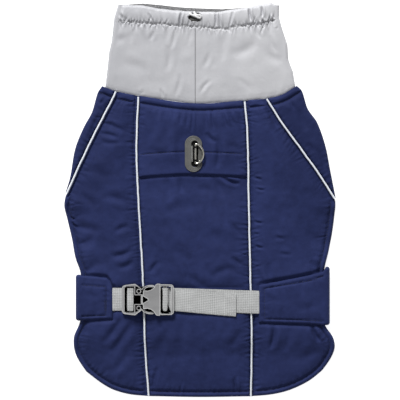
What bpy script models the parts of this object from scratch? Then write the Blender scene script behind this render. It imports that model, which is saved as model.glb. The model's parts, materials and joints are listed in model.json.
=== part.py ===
"""Padded winter coat for a dog, laid flat with its back up.

Metres, +Z up. The collar points to +Y and the hem to -Y. The coat lies on z = 0, with its
chest panel and belly band underneath, the back panels over them, the band's two tabs folded
round the sides on top, and the belly strap with its buckle on top of those.
"""

import math
from collections import namedtuple

import bmesh
import bpy
from mathutils import Matrix, Vector

MM = 0.001

# Cloth, in mm
SEAM_GAP = 0.3
UNDER_CLOTH = 3.0          # chest panel and belly band
UNDER_EDGE = 2.2           # the chest panel at its stitched edges
BACK_LIFT = 3.4            # underside of the back panels, where they lie on the under layer
BACK_FULL = 4.2            # back panel away from its seams
BACK_SEAM = 1.8            # back panel pressed down in a seam
BACK_HEM = 2.4             # back panel at its turned hem
STITCH_LINE = 2.3          # back panel pressed down in a topstitch line
SEAM_SLOPE = 10.0          # from a seam to the panel's full thickness
NECK_STITCH = 8.0          # topstitch line below the collar seam
HEM_STITCH = 5.5           # topstitch line inside the hem
THINNEST = 1.3
CELL = 13.0                # widest cell of a cloth grid

# The loose flap at the yoke's lower edge, in mm
FLAP_REACH = 18.5          # how far the centre back goes up under the flap
FLAP_END = 21.6            # where the yoke's underside is still lifted over it
FLAP_FOOT = 24.2           # where the yoke is at full depth again
FLAP_UNDER = 1.7           # centre back under the flap
FLAP_UNDER_SEAM = 0.6      # the same, sewn into the side seams
FLAP_GAP = 0.35
FLAP_SLOPE = 14.0          # from the flap's edge to the centre back's full thickness

# Belly band, strap and piping, in mm
BAND_ROUND = 4.0           # middle of the band's cloth round the coat's sides
BAND_FOLD_LEFT = -130.0
BAND_FOLD_RIGHT = 136.0
PIPING_RADIUS = 1.2
PIPING_CLEAR = 0.45
WEB_THICK = 1.4
WEB_WIDTH = 25.0
STRAP_FLOOR = BACK_LIFT + BACK_FULL + 0.8
TAIL_FLOOR = STRAP_FLOOR + WEB_THICK + 0.3
BUCKLE_AT = (-56.7, -108.1)
BUCKLE_HALF = 28.2
STRAP_DRIFT = -0.034       # sideways run of the strap for each mm past the buckle
TAIL_DRIFT = -0.093
TAIL_END = 39.0

# Collar, in mm
COLLAR_WALL = 1.4
COLLAR_COLUMNS = 18

# Leash plate and ring, in mm
PLATE_AT = (-7.1, 50.1)
PLATE_SIZE = (18.9, 39.6)
PLATE_FLOOR = BACK_LIFT + BACK_FULL + 0.4
PLATE_THICK = 2.2
PLATE_SLOT = (7.2, 28.6)
SLOT_X = -5.7
RING_AT = (-4.96, 50.1, 11.75)
RING_WIRE = 1.35
RING_DEPTH = 8.6
RING_HALF = 10.65
RING_TILT = math.radians(3)

# Drawcord opening in the collar's casing, in mm
OPENING_AT = (-5.3, 199.3)
OPENING_SIZE = (15.2, 12.0)
CORD_RADIUS = 1.1

Spot = namedtuple("Spot", "x y")
Edge = namedtuple("Edge", "y x")
Step = namedtuple("Step", "far thick")
Crease = namedtuple("Crease", "x0 y0 x1 y1 depth width")
TabColumn = namedtuple("TabColumn", "x top bottom")
CollarRow = namedtuple("CollarRow", "share height")
CordPoint = namedtuple("CordPoint", "x y z")
Look = namedtuple("Look", "colour roughness metallic")

# Seams and edges seen from above, mm from the coat's middle
COLLAR_SEAM = [Spot(-106.8, 124.3), Spot(-91.6, 118.6), Spot(-67.1, 113.7), Spot(-5.5, 105.4),
               Spot(48.6, 108.6), Spot(72.3, 110.6), Spot(88.9, 114.5), Spot(105.7, 124.6)]
PIPED_LEFT = [Spot(-67.1, 113.7), Spot(-68.7, 78.9), Spot(-69.2, 51.2), Spot(-67.1, 0.0),
              Spot(-63.0, -69.8), Spot(-61.0, -122.1), Spot(-59.5, -166.8), Spot(-56.0, -214.4)]
PIPED_RIGHT = [Spot(48.6, 108.6), Spot(51.7, 71.9), Spot(53.1, 0.0), Spot(54.9, -83.4),
               Spot(56.4, -152.6), Spot(55.6, -214.6)]
SLANT_LEFT = [Spot(-91.6, 118.6), Spot(-94.6, 111.4), Spot(-120.2, 61.5), Spot(-145.2, 7.0)]
SLANT_RIGHT = [Spot(72.3, 110.6), Spot(91.8, 80.3), Spot(111.2, 54.0), Spot(131.9, 24.7),
               Spot(146.6, 1.4)]
SHOULDER_EDGE_LEFT = [Spot(-106.8, 124.3), Spot(-111.6, 117.0), Spot(-117.9, 95.9),
                      Spot(-127.0, 79.0), Spot(-136.3, 55.6), Spot(-141.7, 25.0),
                      Spot(-146.9, 7.5)]
SHOULDER_EDGE_RIGHT = [Spot(105.7, 124.6), Spot(111.2, 119.0), Spot(117.5, 99.8),
                       Spot(127.9, 84.5), Spot(136.9, 59.0), Spot(142.0, 33.0),
                       Spot(148.0, 2.4)]
CAPE_EDGE_LEFT = [Spot(-146.8, 3.5), Spot(-148.1, -7.0), Spot(-145.0, -21.0),
                  Spot(-140.2, -41.4), Spot(-135.9, -63.0), Spot(-130.6, -78.0),
                  Spot(-129.9, -88.0), Spot(-129.9, -108.0), Spot(-129.9, -126.0),
                  Spot(-131.6, -135.0), Spot(-137.6, -150.0), Spot(-136.0, -168.0),
                  Spot(-124.3, -187.5)]
CAPE_EDGE_RIGHT = [Spot(147.6, -2.0), Spot(147.7, -9.0), Spot(144.6, -34.9),
                   Spot(140.6, -55.0), Spot(136.2, -73.0), Spot(135.2, -84.0),
                   Spot(135.0, -108.0), Spot(135.0, -131.0), Spot(137.6, -138.6),
                   Spot(145.2, -150.0), Spot(147.2, -161.0), Spot(143.2, -172.4),
                   Spot(133.4, -186.4)]
HEM_LEFT = [Spot(-124.3, -187.5), Spot(-99.8, -205.0), Spot(-78.9, -212.0), Spot(-56.0, -214.4)]
HEM_MIDDLE = [Spot(-56.0, -214.4), Spot(0.0, -215.4), Spot(55.6, -214.6)]
HEM_RIGHT = [Spot(55.6, -214.6), Spot(77.8, -212.6), Spot(97.3, -208.0), Spot(118.2, -198.2),
             Spot(133.4, -186.4)]
FLAP_EDGE = [Spot(-72.0, 24.9), Spot(-45.0, 26.9), Spot(-17.8, 28.3), Spot(21.8, 27.3),
             Spot(60.0, 25.2)]
CHEST_EDGE_LEFT = [Spot(-105.2, 121.0), Spot(-115.8, 96.0), Spot(-125.0, 78.0),
                   Spot(-134.2, 55.0), Spot(-139.6, 23.0), Spot(-137.0, 12.0),
                   Spot(-120.0, 5.0), Spot(-104.0, -5.0), Spot(-97.0, -20.0),
                   Spot(-95.0, -34.0), Spot(-98.0, -48.0), Spot(-108.0, -60.0),
                   Spot(-121.0, -70.0), Spot(-128.6, -80.6)]
CHEST_EDGE_RIGHT = [Spot(104.0, 121.2), Spot(115.6, 99.0), Spot(125.8, 83.0),
                    Spot(134.8, 58.0), Spot(140.0, 30.0), Spot(138.0, 12.0),
                    Spot(121.0, 5.0), Spot(104.0, -5.0), Spot(97.0, -20.0),
                    Spot(95.0, -34.0), Spot(99.0, -48.0), Spot(110.0, -58.0),
                    Spot(125.0, -67.0), Spot(134.4, -75.6)]

# The band's tabs on top of the back, from the tab's free end to its fold round the side
TAB_LEFT = [TabColumn(-94.9, -95.3, -129.4), TabColumn(-97.6, -88.8, -129.6),
            TabColumn(-101.4, -84.9, -129.8), TabColumn(-114.0, -83.4, -130.4),
            TabColumn(-130.0, -82.2, -131.3)]
TAB_RIGHT = [TabColumn(64.0, -93.2, -133.2), TabColumn(67.0, -91.9, -133.4),
             TabColumn(83.4, -88.9, -134.0), TabColumn(101.0, -85.6, -134.6),
             TabColumn(118.2, -82.1, -135.2), TabColumn(136.0, -77.4, -136.2)]

# Cloth thickness, mm in from an edge
SEAM_STEPS = [Step(0.0, BACK_SEAM), Step(4.0, 3.4), Step(SEAM_SLOPE, BACK_FULL)]
NECK_STEPS = [Step(0.0, BACK_SEAM), Step(4.0, 3.3), Step(NECK_STITCH, STITCH_LINE),
              Step(14.0, BACK_FULL)]
HEM_STEPS = [Step(0.0, BACK_HEM), Step(2.6, 3.2), Step(HEM_STITCH, STITCH_LINE),
             Step(12.0, BACK_FULL)]
CHEST_STEPS = [Step(0.0, UNDER_EDGE), Step(8.0, UNDER_CLOTH)]

# The largest folds, as troughs pressed into the cloth's upper side
BACK_CREASES = [
    Crease(-52.0, 98.0, -46.0, 56.0, 0.9, 5.0),
    Crease(-30.0, 98.0, -28.0, 64.0, 1.0, 5.0),
    Crease(8.0, 96.0, 9.0, 62.0, 1.0, 5.0),
    Crease(30.0, 98.0, 28.0, 58.0, 0.9, 5.0),
    Crease(22.0, 22.0, 40.0, 12.0, 1.0, 5.0),
    Crease(-20.0, -8.0, 26.0, -22.0, 1.1, 7.0),
    Crease(-46.0, -48.0, 6.0, -62.0, 1.0, 7.0),
    Crease(4.0, -76.0, 46.0, -70.0, 0.9, 6.0),
    Crease(-44.0, -134.0, 40.0, -131.0, 1.0, 5.0),
    Crease(-92.0, -22.0, -132.0, -10.0, 1.2, 7.0),
    Crease(-84.0, -52.0, -124.0, -60.0, 1.1, 6.0),
    Crease(-96.0, 62.0, -84.0, 14.0, 1.1, 7.0),
    Crease(-118.0, 22.0, -96.0, -4.0, 1.0, 6.0),
    Crease(72.0, 70.0, 88.0, 24.0, 1.1, 7.0),
    Crease(80.0, -20.0, 128.0, -10.0, 1.2, 7.0),
    Crease(78.0, -56.0, 120.0, -48.0, 1.1, 6.0),
    Crease(-118.0, -150.0, -80.0, -140.0, 1.0, 6.0),
    Crease(78.0, -142.0, 124.0, -152.0, 1.0, 6.0),
    Crease(-122.0, 78.0, -104.0, 96.0, 0.8, 5.0),
    Crease(112.0, 82.0, 122.0, 50.0, 0.8, 5.0),
]
COLLAR_CREASES = [
    Crease(-80.0, 186.0, -84.0, 150.0, 0.7, 5.0),
    Crease(-28.0, 190.0, -18.0, 160.0, 0.8, 5.0),
    Crease(38.0, 168.0, 74.0, 150.0, 0.8, 6.0),
    Crease(62.0, 196.0, 92.0, 178.0, 0.8, 5.0),
    Crease(-60.0, 128.0, -20.0, 136.0, 0.6, 6.0),
]

# Collar: its height at shares of the way from the seam to the mouth, and its edges
COLLAR_ROWS = [CollarRow(0.0, 5.6), CollarRow(0.05, 6.0), CollarRow(0.17, 6.2),
               CollarRow(0.33, 6.2), CollarRow(0.5, 6.2), CollarRow(0.66, 6.0),
               CollarRow(0.76, 5.7), CollarRow(0.81, 5.0), CollarRow(0.86, 6.4),
               CollarRow(0.94, 6.6), CollarRow(1.0, 5.6)]
COLLAR_EDGE_LEFT = [Edge(122.1, -103.6), Edge(140.6, -101.4), Edge(162.4, -99.2),
                    Edge(174.9, -96.4), Edge(199.5, -93.7), Edge(213.1, -89.4)]
COLLAR_EDGE_RIGHT = [Edge(122.1, 104.2), Edge(140.6, 101.4), Edge(155.9, 96.3),
                     Edge(171.1, 95.6), Edge(186.4, 90.5), Edge(199.9, 86.3), Edge(212.0, 86.6)]
MOUTH_UPPER = [Spot(-89.4, 213.1), Spot(-64.0, 212.2), Spot(-43.6, 208.3), Spot(-15.8, 205.8),
               Spot(18.5, 205.1), Spot(46.9, 209.0), Spot(65.4, 212.6), Spot(80.0, 215.4),
               Spot(86.9, 212.4)]
MOUTH_LOWER = [Spot(-89.4, 213.1), Spot(-64.0, 213.2), Spot(-43.6, 211.6), Spot(-24.0, 209.3),
               Spot(-8.7, 208.4), Spot(26.0, 206.9), Spot(46.9, 209.0), Spot(65.4, 212.0),
               Spot(80.0, 214.6), Spot(86.9, 212.4)]

# The drawcord's short loop, from the opening's left rim to its upper rim
CORD_ROUTE = [CordPoint(-10.9, 201.9, 3.6), CordPoint(-9.6, 201.2, 6.2),
              CordPoint(-6.6, 199.9, 7.9), CordPoint(-3.4, 198.6, 8.4),
              CordPoint(-0.9, 197.5, 8.4), CordPoint(1.3, 198.6, 8.4),
              CordPoint(1.5, 200.6, 8.4), CordPoint(-0.6, 201.8, 8.2),
              CordPoint(-3.2, 202.6, 7.2), CordPoint(-4.8, 203.6, 3.6)]

NAVY_CLOTH = Look((0.024, 0.030, 0.110), 0.6, 0.0)
SILVER_CLOTH = Look((0.55, 0.55, 0.58), 0.45, 0.0)
PIPING_WHITE = Look((0.74, 0.76, 0.82), 0.35, 0.0)
WEB_GREY = Look((0.46, 0.48, 0.46), 0.75, 0.0)
BUCKLE_GREY = Look((0.36, 0.36, 0.38), 0.4, 0.0)
PLATE_GREY = Look((0.15, 0.15, 0.14), 0.55, 0.0)
TOGGLE_BLACK = Look((0.012, 0.012, 0.013), 0.5, 0.0)
KEEPER_BLACK = Look((0.012, 0.012, 0.013), 0.7, 0.0)
STEEL = Look((0.70, 0.68, 0.60), 0.25, 1.0)
CORD_WHITE = Look((0.75, 0.75, 0.76), 0.7, 0.0)


# ---------------------------------------------------------------- scene

def clear_scene():
    for obj in list(bpy.data.objects):
        bpy.data.objects.remove(obj, do_unlink=True)


def new_collection(name):
    group = bpy.data.collections.new(name)
    bpy.context.scene.collection.children.link(group)
    return group


def material(name, look):
    made = bpy.data.materials.new(name)
    made.use_nodes = True
    shader = made.node_tree.nodes["Principled BSDF"]
    shader.inputs["Base Color"].default_value = (*look.colour, 1.0)
    shader.inputs["Roughness"].default_value = look.roughness
    shader.inputs["Metallic"].default_value = look.metallic
    return made


def finish_piece(obj, group, look, smooth_angle=40):
    """Collection and material of a piece, shaded smooth up to an angle."""
    obj.data.materials.clear()
    obj.data.materials.append(material(obj.name, look))
    if obj.type == "MESH":
        obj.data.shade_smooth()
        obj.data.set_sharp_from_angle(angle=math.radians(smooth_angle))
    for held in list(obj.users_collection):
        held.objects.unlink(obj)
    group.objects.link(obj)
    return obj


def cutter(obj):
    for held in list(obj.users_collection):
        held.objects.unlink(obj)
    bpy.data.collections["cutters"].objects.link(obj)
    obj.hide_render = True
    obj.display_type = "WIRE"
    return obj


def boolean(obj, other, operation):
    step = obj.modifiers.new(f"{operation.lower()} {other.name}", "BOOLEAN")
    step.operation = operation
    step.object = cutter(other)
    step.solver = "EXACT"


def box(name, low, high):
    """A box between two corners given in mm."""
    middle = [(a + b) / 2 * MM for a, b in zip(low, high)]
    bpy.ops.mesh.primitive_cube_add(size=1, location=middle)
    made = bpy.context.object
    made.name = name
    made.scale = [(b - a) * MM for a, b in zip(low, high)]
    bpy.ops.object.transform_apply(location=False, rotation=False, scale=True)
    return made


def drum(name, centre, radius, depth, along="Z", sides=24):
    """A cylinder of the given radius and depth in mm."""
    turn = {"Z": (0, 0, 0), "Y": (math.pi / 2, 0, 0)}[along]
    bpy.ops.mesh.primitive_cylinder_add(vertices=sides, radius=radius * MM, depth=depth * MM,
                                        location=Vector(centre) * MM, rotation=turn)
    made = bpy.context.object
    made.name = name
    return made


# ---------------------------------------------------------------- curves and profiles

def smooth_step(value):
    held = min(1.0, max(0.0, value))
    return held * held * (3 - 2 * held)


def mix(a, b, share):
    return a + (b - a) * share


def route(points):
    """A function of 0..1 that runs smoothly through the points, at an even pace."""
    knots = [Vector(point) for point in points]
    marks = [0.0]
    for a, b in zip(knots, knots[1:]):
        marks.append(marks[-1] + (b - a).length)

    def slope(i):
        low, high = max(i - 1, 0), min(i + 1, len(knots) - 1)
        return (knots[high] - knots[low]) / (marks[high] - marks[low])

    def at(share):
        reach = min(max(share, 0.0), 1.0) * marks[-1]
        i = max(j for j in range(len(knots) - 1) if marks[j] <= reach or j == 0)
        span = marks[i + 1] - marks[i]
        t = (reach - marks[i]) / span
        return (knots[i] * (2 * t ** 3 - 3 * t ** 2 + 1)
                + slope(i) * span * (t ** 3 - 2 * t ** 2 + t)
                + knots[i + 1] * (3 * t ** 2 - 2 * t ** 3)
                + slope(i + 1) * span * (t ** 3 - t ** 2))

    return at


def stretch(along, start, end):
    """The part of a route between two shares of it."""
    return lambda share: along(mix(start, end, share))


def share_where(along, axis, value):
    """The share at which a route that rises or falls all the way along an axis has a value."""
    low, high = 0.0, 1.0
    rising = along(1)[axis] > along(0)[axis]
    for _ in range(40):
        middle = (low + high) / 2
        if (along(middle)[axis] < value) == rising:
            low = middle
        else:
            high = middle
    return low


def table_at(rows, value):
    """The second column of a table, read between its rows at a value of the first."""
    if value <= rows[0][0]:
        return rows[0][1]
    for low, high in zip(rows, rows[1:]):
        if value <= high[0]:
            return mix(low[1], high[1], (value - low[0]) / (high[0] - low[0]))
    return rows[-1][1]


def seam_y(x):
    return table_at(COLLAR_SEAM, x)


def flap_y(x):
    return table_at(FLAP_EDGE, x)


def marks_along(length, starts, ends):
    """Shares along a length: the given mm from each end, and even cells between those."""
    head = [mm / length for mm in starts]
    tail = [1 - mm / length for mm in reversed(ends)]
    cells = max(1, math.ceil((tail[0] - head[-1]) * length / CELL))
    inner = [mix(head[-1], tail[0], i / cells) for i in range(1, cells)]
    return head + inner + tail


# ---------------------------------------------------------------- cloth

def crease_depth(x, y, creases):
    """How deep the creases press in at a point. Each fades out at both ends."""
    total = 0.0
    for fold in creases:
        start = Vector((fold.x0, fold.y0))
        run = Vector((fold.x1, fold.y1)) - start
        away = Vector((x, y)) - start
        share = away.dot(run) / run.length_squared
        if 0 < share < 1:
            aside = abs(run.x * away.y - run.y * away.x) / run.length
            total += fold.depth * math.sin(math.pi * share) * math.exp(-(aside / fold.width) ** 2)
    return total


def back_floor(x, y):
    """Underside of the back panels: on the under layer, and down on the ground beyond it."""
    past_band = smooth_step((y + 172) / 26)
    leg_rows = smooth_step((y + 62) / 18) * smooth_step((-1 - y) / 18)
    leg_side = smooth_step((abs(x) - 108) / 24)
    return BACK_LIFT * past_band * (1 - leg_rows * leg_side)


def set_in(spots, rows, columns):
    """Moves the outline of a grid of spots inwards by half a seam gap."""
    moved = {}
    for j in range(rows):
        for i in range(columns):
            pulls = [(1, 0)] * (i == 0) + [(-1, 0)] * (i == columns - 1)
            pulls += [(0, 1)] * (j == 0) + [(0, -1)] * (j == rows - 1)
            shift = Vector((0, 0))
            for di, dj in pulls:
                inward = spots[j + dj][i + di] - spots[j][i]
                shift += inward.normalized() * min(SEAM_GAP / 2, inward.length / 3)
            moved[j, i] = shift
    for (j, i), shift in moved.items():
        spots[j][i] = spots[j][i] + shift


def coons(left, right, top, bottom, us, vs):
    """Spots of a patch between four routes: left and right run down, top and bottom across."""
    spots = []
    for v in vs:
        row = []
        for u in us:
            between = left(v).lerp(right(v), u) + top(u).lerp(bottom(u), v)
            corners = top(0).lerp(top(1), u).lerp(bottom(0).lerp(bottom(1), u), v)
            row.append(between - corners)
        spots.append(row)
    set_in(spots, len(vs), len(us))
    return spots


def shaped_grid(name, columns, rows, place, solid=False):
    """A grid of spots put in place by place(i, j, upper); a solid one is extruded to a slab."""
    mesh = bmesh.new()
    bmesh.ops.create_grid(mesh, x_segments=columns - 1, y_segments=rows - 1, size=1)
    if solid:
        grown = bmesh.ops.extrude_face_region(mesh, geom=mesh.faces[:])
        lower = [item for item in grown["geom"] if isinstance(item, bmesh.types.BMVert)]
        bmesh.ops.translate(mesh, verts=lower, vec=(0, 0, -1))
    for vert in mesh.verts:
        i = round((vert.co.x + 1) / 2 * (columns - 1))
        j = round((1 - vert.co.y) / 2 * (rows - 1))
        vert.co = Vector(place(i, j, vert.co.z > -0.5)) * MM
    bmesh.ops.remove_doubles(mesh, verts=mesh.verts[:], dist=1e-6)
    bmesh.ops.recalc_face_normals(mesh, faces=mesh.faces[:])
    data = bpy.data.meshes.new(name)
    mesh.to_mesh(data)
    mesh.free()
    made = bpy.data.objects.new(name, data)
    bpy.context.scene.collection.objects.link(made)
    return made


def slab(name, spots, upper, lower):
    """A closed cloth solid over a grid of spots, between two functions of (x, y, i, j)."""
    def place(i, j, is_upper):
        x, y = spots[j][i]
        return x, y, (upper if is_upper else lower)(x, y, i, j)
    return shaped_grid(name, len(spots[0]), len(spots), place, solid=True)


def edge_distance(spots, i, j, side):
    """How far a grid spot lies from one side of its own panel, along the grid."""
    if side in "left right":
        row = spots[j]
        run = row[:i + 1] if side == "left" else row[i:]
    else:
        column = [line[i] for line in spots]
        run = column[:j + 1] if side == "top" else column[j:]
    return sum((b - a).length for a, b in zip(run, run[1:]))


def back_thickness(spots, sides):
    """The thickness of a back panel at its spots, from the steps given for each of its sides."""
    def at(x, y, i, j):
        seams = [table_at(steps, edge_distance(spots, i, j, side))
                 for side, steps in sides.items()]
        full = min(seams)
        inner = min(1.0, min(edge_distance(spots, i, j, side) for side in sides) / 12)
        return max(THINNEST, full - crease_depth(x, y, BACK_CREASES) * inner)
    return at


def back_panel(name, group, look, routes, us, vs, sides):
    spots = coons(*routes, us, vs)
    thick = back_thickness(spots, sides)
    panel = slab(name, spots,
                 lambda x, y, i, j: back_floor(x, y) + thick(x, y, i, j),
                 lambda x, y, i, j: back_floor(x, y))
    return finish_piece(panel, group, look)


def joined(first, second):
    """One list of spots from two that meet."""
    return first + [spot for spot in second if spot != first[-1]]


def side_backs(group, look):
    collar = route(COLLAR_SEAM)
    left_top = [share_where(collar, 0, spot.x) for spot in (SLANT_LEFT[0], PIPED_LEFT[0])]
    right_top = [share_where(collar, 0, spot.x) for spot in (PIPED_RIGHT[0], SLANT_RIGHT[0])]
    vs = marks_along(330, (0, 4, NECK_STITCH, 14), (0, 2.6, HEM_STITCH, 12))
    us = marks_along(75, (0, 4, SEAM_SLOPE), (0, 4, SEAM_SLOPE))
    seams = {"top": NECK_STEPS, "bottom": HEM_STEPS}
    back_panel("side_left", group, look,
               (route(joined(SLANT_LEFT, CAPE_EDGE_LEFT)), route(PIPED_LEFT),
                stretch(collar, *left_top), route(HEM_LEFT)),
               us, vs, {**seams, "left": SEAM_STEPS, "right": SEAM_STEPS})
    back_panel("side_right", group, look,
               (route(PIPED_RIGHT), route(joined(SLANT_RIGHT, CAPE_EDGE_RIGHT)),
                stretch(collar, *right_top), route(HEM_RIGHT)),
               us, vs, {**seams, "left": SEAM_STEPS, "right": SEAM_STEPS})


def shoulders(group, look):
    collar = route(COLLAR_SEAM)
    left_end = share_where(collar, 0, SLANT_LEFT[0].x)
    right_start = share_where(collar, 0, SLANT_RIGHT[0].x)
    vs = marks_along(118, (0, 4, NECK_STITCH, 14), (0, 5))
    us = [0, 0.2, 0.5, 0.8, 1]
    seams = {"top": NECK_STEPS, "left": SEAM_STEPS, "right": SEAM_STEPS}
    left_foot = [SHOULDER_EDGE_LEFT[-1], Spot(-145.6, 8.0)]
    right_foot = [Spot(146.0, 2.6), SHOULDER_EDGE_RIGHT[-1]]
    back_panel("shoulder_left", group, look,
               (route(SHOULDER_EDGE_LEFT), route(SLANT_LEFT[:-1] + left_foot[1:]),
                stretch(collar, 0, left_end), route(left_foot)), us, vs, seams)
    back_panel("shoulder_right", group, look,
               (route(SLANT_RIGHT[:-1] + right_foot[:1]), route(SHOULDER_EDGE_RIGHT),
                stretch(collar, right_start, 1), route(right_foot)), us, vs, seams)


def under_flap(x, y, i, j, spots):
    """Top of the centre back where the flap covers it."""
    aside = min(edge_distance(spots, i, j, "left"), edge_distance(spots, i, j, "right"))
    cover = mix(FLAP_UNDER_SEAM, FLAP_UNDER, smooth_step(aside / 12))
    return back_floor(x, y) + cover


def yoke(group, look):
    collar = route(COLLAR_SEAM)
    tops = [share_where(collar, 0, spot.x) for spot in (PIPED_LEFT[0], PIPED_RIGHT[0])]
    left, right = route(PIPED_LEFT), route(PIPED_RIGHT)
    left_end = share_where(left, 1, flap_y(-68.5))
    right_end = share_where(right, 1, flap_y(52.5))
    corners = [left(left_end), right(right_end)]
    lower = [corners[0], *[Vector(spot) for spot in FLAP_EDGE[1:-1]], corners[1]]
    us = marks_along(120, (0, 4, SEAM_SLOPE), (0, 4, SEAM_SLOPE))
    vs = marks_along(82, (0, 4, NECK_STITCH, 14), (0, 2.5, 8, 15, FLAP_END, FLAP_FOOT + 1.5))
    spots = coons(stretch(left, 0, left_end), stretch(right, 0, right_end),
                  stretch(collar, *tops), route(lower), us, vs)
    flap_steps = [Step(0.0, BACK_FULL - 0.6), Step(3.0, BACK_FULL)]
    thick = back_thickness(spots, {"top": NECK_STEPS, "left": SEAM_STEPS, "right": SEAM_STEPS,
                                   "bottom": flap_steps})

    def underside(x, y, i, j):
        lifted = under_flap(x, y, i, j, spots) + FLAP_GAP
        up = y - flap_y(x)
        share = 1 - smooth_step((up - FLAP_END) / (FLAP_FOOT - FLAP_END))
        return mix(back_floor(x, y), lifted, share)

    def upper(x, y, i, j):
        return max(back_floor(x, y) + thick(x, y, i, j), underside(x, y, i, j) + 0.6)

    finish_piece(slab("yoke", spots, upper, underside), group, look)


def centre_back(group, look):
    left, right = route(PIPED_LEFT), route(PIPED_RIGHT)
    left_start = share_where(left, 1, flap_y(-68.5) + FLAP_REACH)
    right_start = share_where(right, 1, flap_y(52.5) + FLAP_REACH)
    corners = [left(left_start), right(right_start)]
    raised = [Vector((spot.x, spot.y + FLAP_REACH)) for spot in FLAP_EDGE[1:-1]]
    us = marks_along(118, (0, 4, SEAM_SLOPE), (0, 4, SEAM_SLOPE))
    vs = marks_along(262, (0, 9, FLAP_REACH + 0.8, FLAP_REACH + 6, FLAP_REACH + FLAP_SLOPE),
                     (0, 2.6, HEM_STITCH, 12))
    spots = coons(stretch(left, left_start, 1), stretch(right, right_start, 1),
                  route([corners[0], *raised, corners[1]]), route(HEM_MIDDLE), us, vs)
    thick = back_thickness(spots, {"left": SEAM_STEPS, "right": SEAM_STEPS,
                                   "bottom": HEM_STEPS})

    def upper(x, y, i, j):
        below = flap_y(x) - y
        open_cloth = back_floor(x, y) + thick(x, y, i, j)
        covered = min(under_flap(x, y, i, j, spots), open_cloth)
        return mix(covered, open_cloth, smooth_step((below - 2) / FLAP_SLOPE))

    panel = slab("back_centre", spots, upper, lambda x, y, i, j: back_floor(x, y))
    finish_piece(panel, group, look)


def chest_panel(group, look):
    collar = route(COLLAR_SEAM)
    us = marks_along(240, (0, 8), (0, 8))
    vs = marks_along(250, (0, 8), (0, 8))
    ends = [share_where(collar, 0, edge[0].x) for edge in (CHEST_EDGE_LEFT, CHEST_EDGE_RIGHT)]
    bottom = route([CHEST_EDGE_LEFT[-1], CHEST_EDGE_RIGHT[-1]])
    spots = coons(route(CHEST_EDGE_LEFT), route(CHEST_EDGE_RIGHT),
                  stretch(collar, *ends), bottom, us, vs)

    def upper(x, y, i, j):
        inner = min(edge_distance(spots, i, j, side) for side in ("left", "right", "top"))
        return table_at(CHEST_STEPS, inner)

    finish_piece(slab("chest_panel", spots, upper, lambda x, y, i, j: 0.0), group, look)


def belly_band(group, look):
    """The band's cloth as one strip: left tab, round the side, under the coat, right tab."""
    top_z = UNDER_CLOTH / 2 + 2 * BAND_ROUND
    columns = [(column.x, top_z, column) for column in TAB_LEFT]
    for k in range(1, 6):
        turn = math.pi * k / 6
        columns.append((BAND_FOLD_LEFT - BAND_ROUND * math.sin(turn),
                        top_z - BAND_ROUND * (1 - math.cos(turn)), TAB_LEFT[-1]))
    runs = 16
    for k in range(runs + 1):
        share = k / runs
        ends = (TAB_LEFT[-1], TAB_RIGHT[-1])
        spot = TabColumn(*[mix(a, b, share) for a, b in zip(*ends)])
        columns.append((mix(BAND_FOLD_LEFT, BAND_FOLD_RIGHT, share), UNDER_CLOTH / 2, spot))
    for k in range(5, 0, -1):
        turn = math.pi * k / 6
        columns.append((BAND_FOLD_RIGHT + BAND_ROUND * math.sin(turn),
                        top_z - BAND_ROUND * (1 - math.cos(turn)), TAB_RIGHT[-1]))
    columns += [(column.x, top_z, column) for column in reversed(TAB_RIGHT)]
    shares = [0, 0.25, 0.5, 0.75, 1]

    def place(i, j, _):
        x, z, spot = columns[i]
        return x, mix(spot.top, spot.bottom, shares[j]), z

    band = shaped_grid("belly_band", len(columns), len(shares), place)
    wall = band.modifiers.new("cloth", "SOLIDIFY")
    wall.thickness = UNDER_CLOTH * MM
    wall.offset = 0
    finish_piece(band, group, look)


# ---------------------------------------------------------------- collar

def collar_ring():
    """Stations round the flattened tube: share across, share of the height, and lean outwards."""
    ring = []
    for k in range(COLLAR_COLUMNS + 1):
        ring.append((k / COLLAR_COLUMNS, 1.0, 0.0))
    for turn in (45, 90, 135):
        angle = math.radians(turn)
        ring.append((1.0, 0.5 + 0.5 * math.cos(angle), math.sin(angle)))
    for k in range(COLLAR_COLUMNS + 1):
        ring.append((1 - k / COLLAR_COLUMNS, 0.0, 0.0))
    for turn in (135, 90, 45):
        angle = math.radians(turn)
        ring.append((0.0, 0.5 + 0.5 * math.cos(angle), -math.sin(angle)))
    return ring


def collar_tube(group, look):
    ring = collar_ring()
    rows = len(COLLAR_ROWS)

    def place(i, j, _):
        across, lift, lean = ring[i % len(ring)]
        row = COLLAR_ROWS[rows - 1 - j]
        low, high = [table_at(table, mix(table[0].y, table[-1].y, row.share))
                     for table in (COLLAR_EDGE_LEFT, COLLAR_EDGE_RIGHT)]
        inset = row.height / 2
        x = mix(low + inset, high - inset, across) + lean * inset
        mouth_x = mix(MOUTH_UPPER[0].x, MOUTH_UPPER[-1].x, across)
        mouth = mix(table_at(MOUTH_LOWER, mouth_x), table_at(MOUTH_UPPER, mouth_x), lift)
        y = mix(seam_y(x) + SEAM_GAP / 2 + 0.1, mouth, row.share)
        fade = min(1.0, row.share * 8, (1 - row.share) * 8) * (lift == 1.0)
        return x, y, row.height * lift - crease_depth(x, y, COLLAR_CREASES) * fade

    collar = shaped_grid("collar", len(ring) + 1, rows, place)
    wall = collar.modifiers.new("cloth", "SOLIDIFY")
    wall.thickness = COLLAR_WALL * MM
    wall.offset = -1
    opening = drum("opening cutter", (*OPENING_AT, 8.0), 1.0, 10.0, sides=20)
    opening.scale = (OPENING_SIZE[0] / 2, OPENING_SIZE[1] / 2, 1)
    boolean(collar, opening, "DIFFERENCE")
    finish_piece(collar, group, look)


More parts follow.
